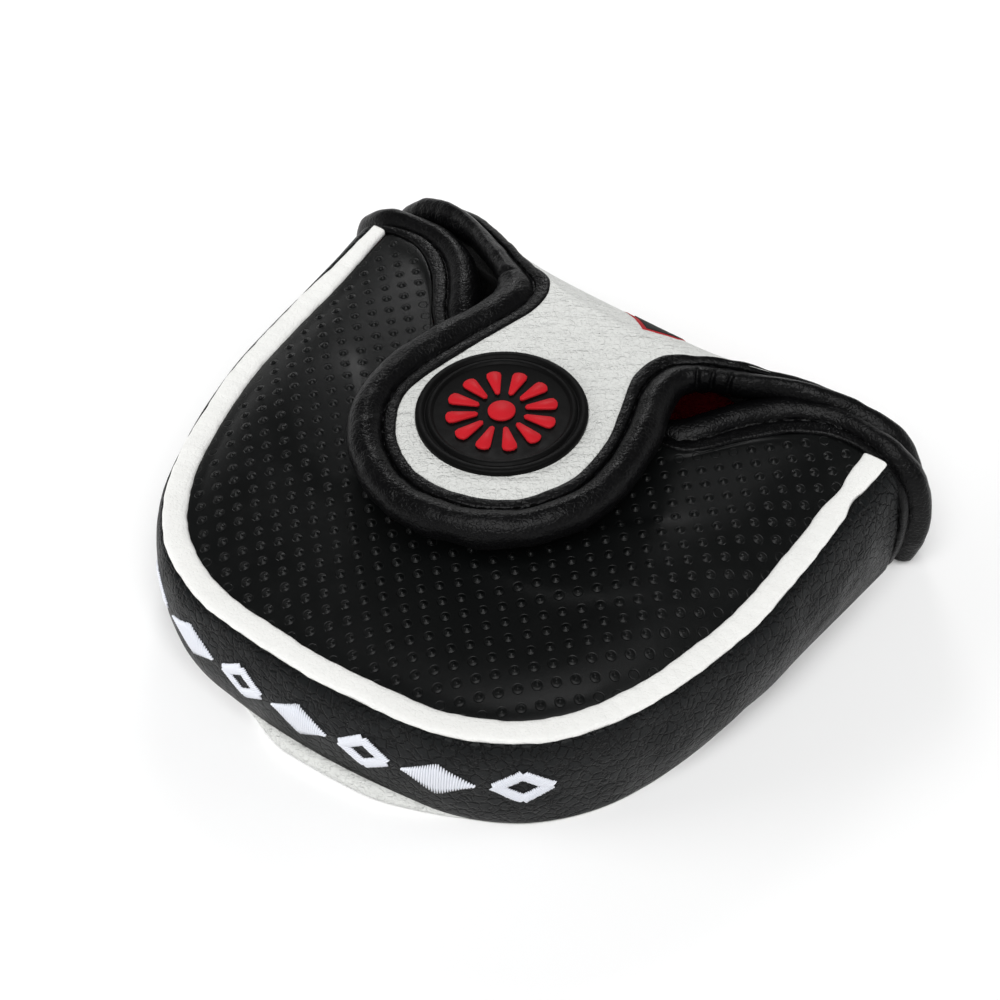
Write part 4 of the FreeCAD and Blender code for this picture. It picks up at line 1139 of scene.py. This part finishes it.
def sunburst():
    """A plain ring of tapered rays round a dot."""
    low, high = BADGE_Z + 0.6, BADGE_Z + 1.25
    ray = np.array([(4.4, -0.42), (8.6, -1.3), (9.3, -1.2), (9.7, -0.6), (9.8, 0.0), (9.7, 0.6), (9.3, 1.2),
                    (8.6, 1.3), (4.4, 0.42), (4.1, 0.0)])
    turn = np.arange(48) * 2 * math.pi / 48
    shapes = [2.4 * np.column_stack([np.cos(turn), np.sin(turn)])]
    for angle in np.radians(15 + 30 * np.arange(12)):
        c, s = math.cos(angle), math.sin(angle)
        shapes.append(ray @ [[c, s], [-s, c]])
    return join_parts([prism(shape + (BADGE_X, BADGE_Y), low, high) for shape in shapes])


emblem = make_mesh("badge_sunburst", *sunburst(), RED_RUBBER, "flap")
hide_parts("badge_emblem")


# ---- embroidery on the rounded end
MOTIF_PITCH, MOTIF_HALF, MOTIF_HIGH, MOTIF_CENTRE = 12.7, 5.5, 4.1, 11.5


def on_band(tree, distance, height):
    """Point and outward direction on the band's face."""
    x, y, nx, ny = rim(distance)[0]
    away = Vector((nx, ny, 0))
    hit = tree.ray_cast(Vector((x, y, height)) * MM + away * 0.02, -away)[0]
    return np.array(hit) / MM, np.array(away)


THREAD_PITCH, THREAD_SHARES = 0.36, (-1.0, -0.6, 0.0, 0.6, 1.0)


def band_thread(tree, middle, places, radius):
    """One satin thread over the band through (along, height) places from a motif's middle."""
    found = [on_band(tree, middle + along, MOTIF_CENTRE + height) for along, height in places]
    path, up = np.array(found).transpose(1, 0, 2)
    return thread(path, up, radius, (0.5, 0.95, 1.0, 0.95, 0.5), 0.22)


def satin(tree, middle, start, end, wide):
    """Threads laid side by side across a stroke on the band, in (along, height) from the motif's middle."""
    start, end = np.array(start, float), np.array(end, float)
    run = end - start
    length = np.linalg.norm(run)
    run /= length
    side, slant = np.array([-run[1], run[0]]), run * 0.18
    parts = []
    count = int(length / THREAD_PITCH)
    for index in range(count + 1):
        centre = start + run * length * index / count
        reach = wide / 2 * (1 + rng.uniform(-0.07, 0.07))
        places = [centre + (side * reach + slant) * share for share in THREAD_SHARES]
        parts.append(band_thread(tree, middle, places, 0.24))
    return parts


def embroidery():
    """A border of lozenges in satin stitch, open and solid by turns."""
    tree = surface_of(side_band)
    parts = []
    for index in range(-3, 4):
        middle = index * MOTIF_PITCH
        if index % 2:
            corners = [(-MOTIF_HALF, 0), (0, -MOTIF_HIGH), (MOTIF_HALF, 0), (0, MOTIF_HIGH)]
            inner = [(a * 0.74, b * 0.74) for a, b in corners]
            for first, second in zip(inner, inner[1:] + inner[:1]):
                parts += satin(tree, middle, first, second, 2.1)
        else:
            steps = 27
            for step in range(steps + 1):
                along = -MOTIF_HALF + 2 * MOTIF_HALF * step / steps
                reach = MOTIF_HIGH * (1 - abs(along) / MOTIF_HALF) * 0.92 + 0.25
                places = [(along + share * 0.25, share * reach * rng.uniform(0.97, 1.03))
                          for share in THREAD_SHARES]
                parts.append(band_thread(tree, middle, places, 0.25))
    return join_parts(parts)


stitched_border = make_mesh("stitched_border", *embroidery(), WHITE_THREAD, "shell")
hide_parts("rear_embroidery")


# ---- frame nodes that keep their own shape
def repaint(node, look):
    """Give a kept CAD node a finished material."""
    for slot in frame["nodes"][node].material_slots:
        slot.material = look.material


for node in ("body_magnet", "flap_magnet"):
    repaint(node, NICKEL)
for node in ("body_magnet_pouch", "flap_magnet_pouch", "sole_foam"):
    repaint(node, POUCH)


# ---- floor, lights and camera
def area_light(name, place, target, size, power, glossy=True):
    """A square soft light aimed at a target, in metres."""
    data = bpy.data.lights.new(name, "AREA")
    data.shape = "SQUARE"
    data.size = size
    data.energy = power
    light = bpy.data.objects.new(name, data)
    light.location = place
    direction = Vector(target) - Vector(place)
    light.rotation_euler = direction.to_track_quat("-Z", "Y").to_euler()
    light.visible_glossy = glossy
    bpy.context.scene.collection.objects.link(light)


def floor():
    """A plain pale floor at the sole's height."""
    corners = [(-3, -3, 0), (3, -3, 0), (3, 3, 0), (-3, 3, 0)]
    mesh = bpy.data.meshes.new("floor")
    mesh.from_pydata(corners, [], [(0, 1, 2, 3)])
    piece = bpy.data.objects.new("floor", mesh)
    bpy.context.scene.collection.objects.link(piece)
    look = Look("floor_white", (0.93, 0.93, 0.93), 0.9)
    look.tint(look.noise(3.0), (0.92, 0.92, 0.92), (0.94, 0.94, 0.94))
    mesh.materials.append(look.material)


floor()
CENTRE = (0.0, -0.035, 0.02)
area_light("left_softbox", (-0.55, -0.45, 0.30), CENTRE, 0.40, 2.2, glossy=False)
area_light("right_softbox", (0.60, 0.35, 0.30), CENTRE, 0.40, 1.4, glossy=False)
area_light("back_softbox", (-0.36, 0.45, 0.36), CENTRE, 0.16, 0.8)


def overhead_light():
    """A broad even light from above and a little in front."""
    data = bpy.data.lights.new("overhead", "SUN")
    data.angle = math.radians(50)
    data.energy = 2.45
    light = bpy.data.objects.new("overhead", data)
    light.rotation_euler = Vector((-0.30, 0.45, -1.0)).to_track_quat("-Z", "Y").to_euler()
    bpy.context.scene.collection.objects.link(light)


overhead_light()


def studio_world():
    """Surroundings that are bright near the horizon and dim overhead."""
    world = bpy.data.worlds.new("studio")
    world.use_nodes = True
    tree, sky = world.node_tree, world.node_tree.nodes["Background"].inputs
    place = add_node(tree, "TexCoord", {}).outputs["Generated"]
    height = add_node(tree, "SeparateXYZ", {"Vector": place}).outputs["Z"]
    values = {"Value": height, "From Min": 0.10, "From Max": 0.50, "To Min": 0.60, "To Max": 0.13}
    strength = add_node(tree, "MapRange", values, interpolation_type="SMOOTHSTEP").outputs["Result"]
    tree.links.new(strength, sky["Strength"])
    sky["Color"].default_value = (1, 1, 1, 1)
    bpy.context.scene.world = world


studio_world()


def photo_camera():
    """The camera: its place in metres, its view direction as angles, and a 90 mm lens."""
    azimuth, elevation, roll = (math.radians(value) for value in (37.98, 46.43, -2.57))
    place = Vector((0.1888, -0.2754, 0.3374))
    back = Vector((math.sin(azimuth) * math.cos(elevation), -math.cos(azimuth) * math.cos(elevation),
                   math.sin(elevation)))
    right = Vector((math.cos(azimuth), math.sin(azimuth), 0))
    up = back.cross(right)
    turned_right = right * math.cos(roll) + up * math.sin(roll)
    turned_up = up * math.cos(roll) - right * math.sin(roll)
    data = bpy.data.cameras.new("camera")
    data.sensor_width = 36
    data.lens = 90
    data.clip_start = 0.01
    camera = bpy.data.objects.new("camera", data)
    axes = Matrix((turned_right, turned_up, back)).transposed()
    camera.matrix_world = Matrix.Translation(place) @ axes.to_4x4()
    bpy.context.scene.collection.objects.link(camera)
    bpy.context.scene.camera = camera


photo_camera()
bpy.context.scene.view_settings.view_transform = "Standard"
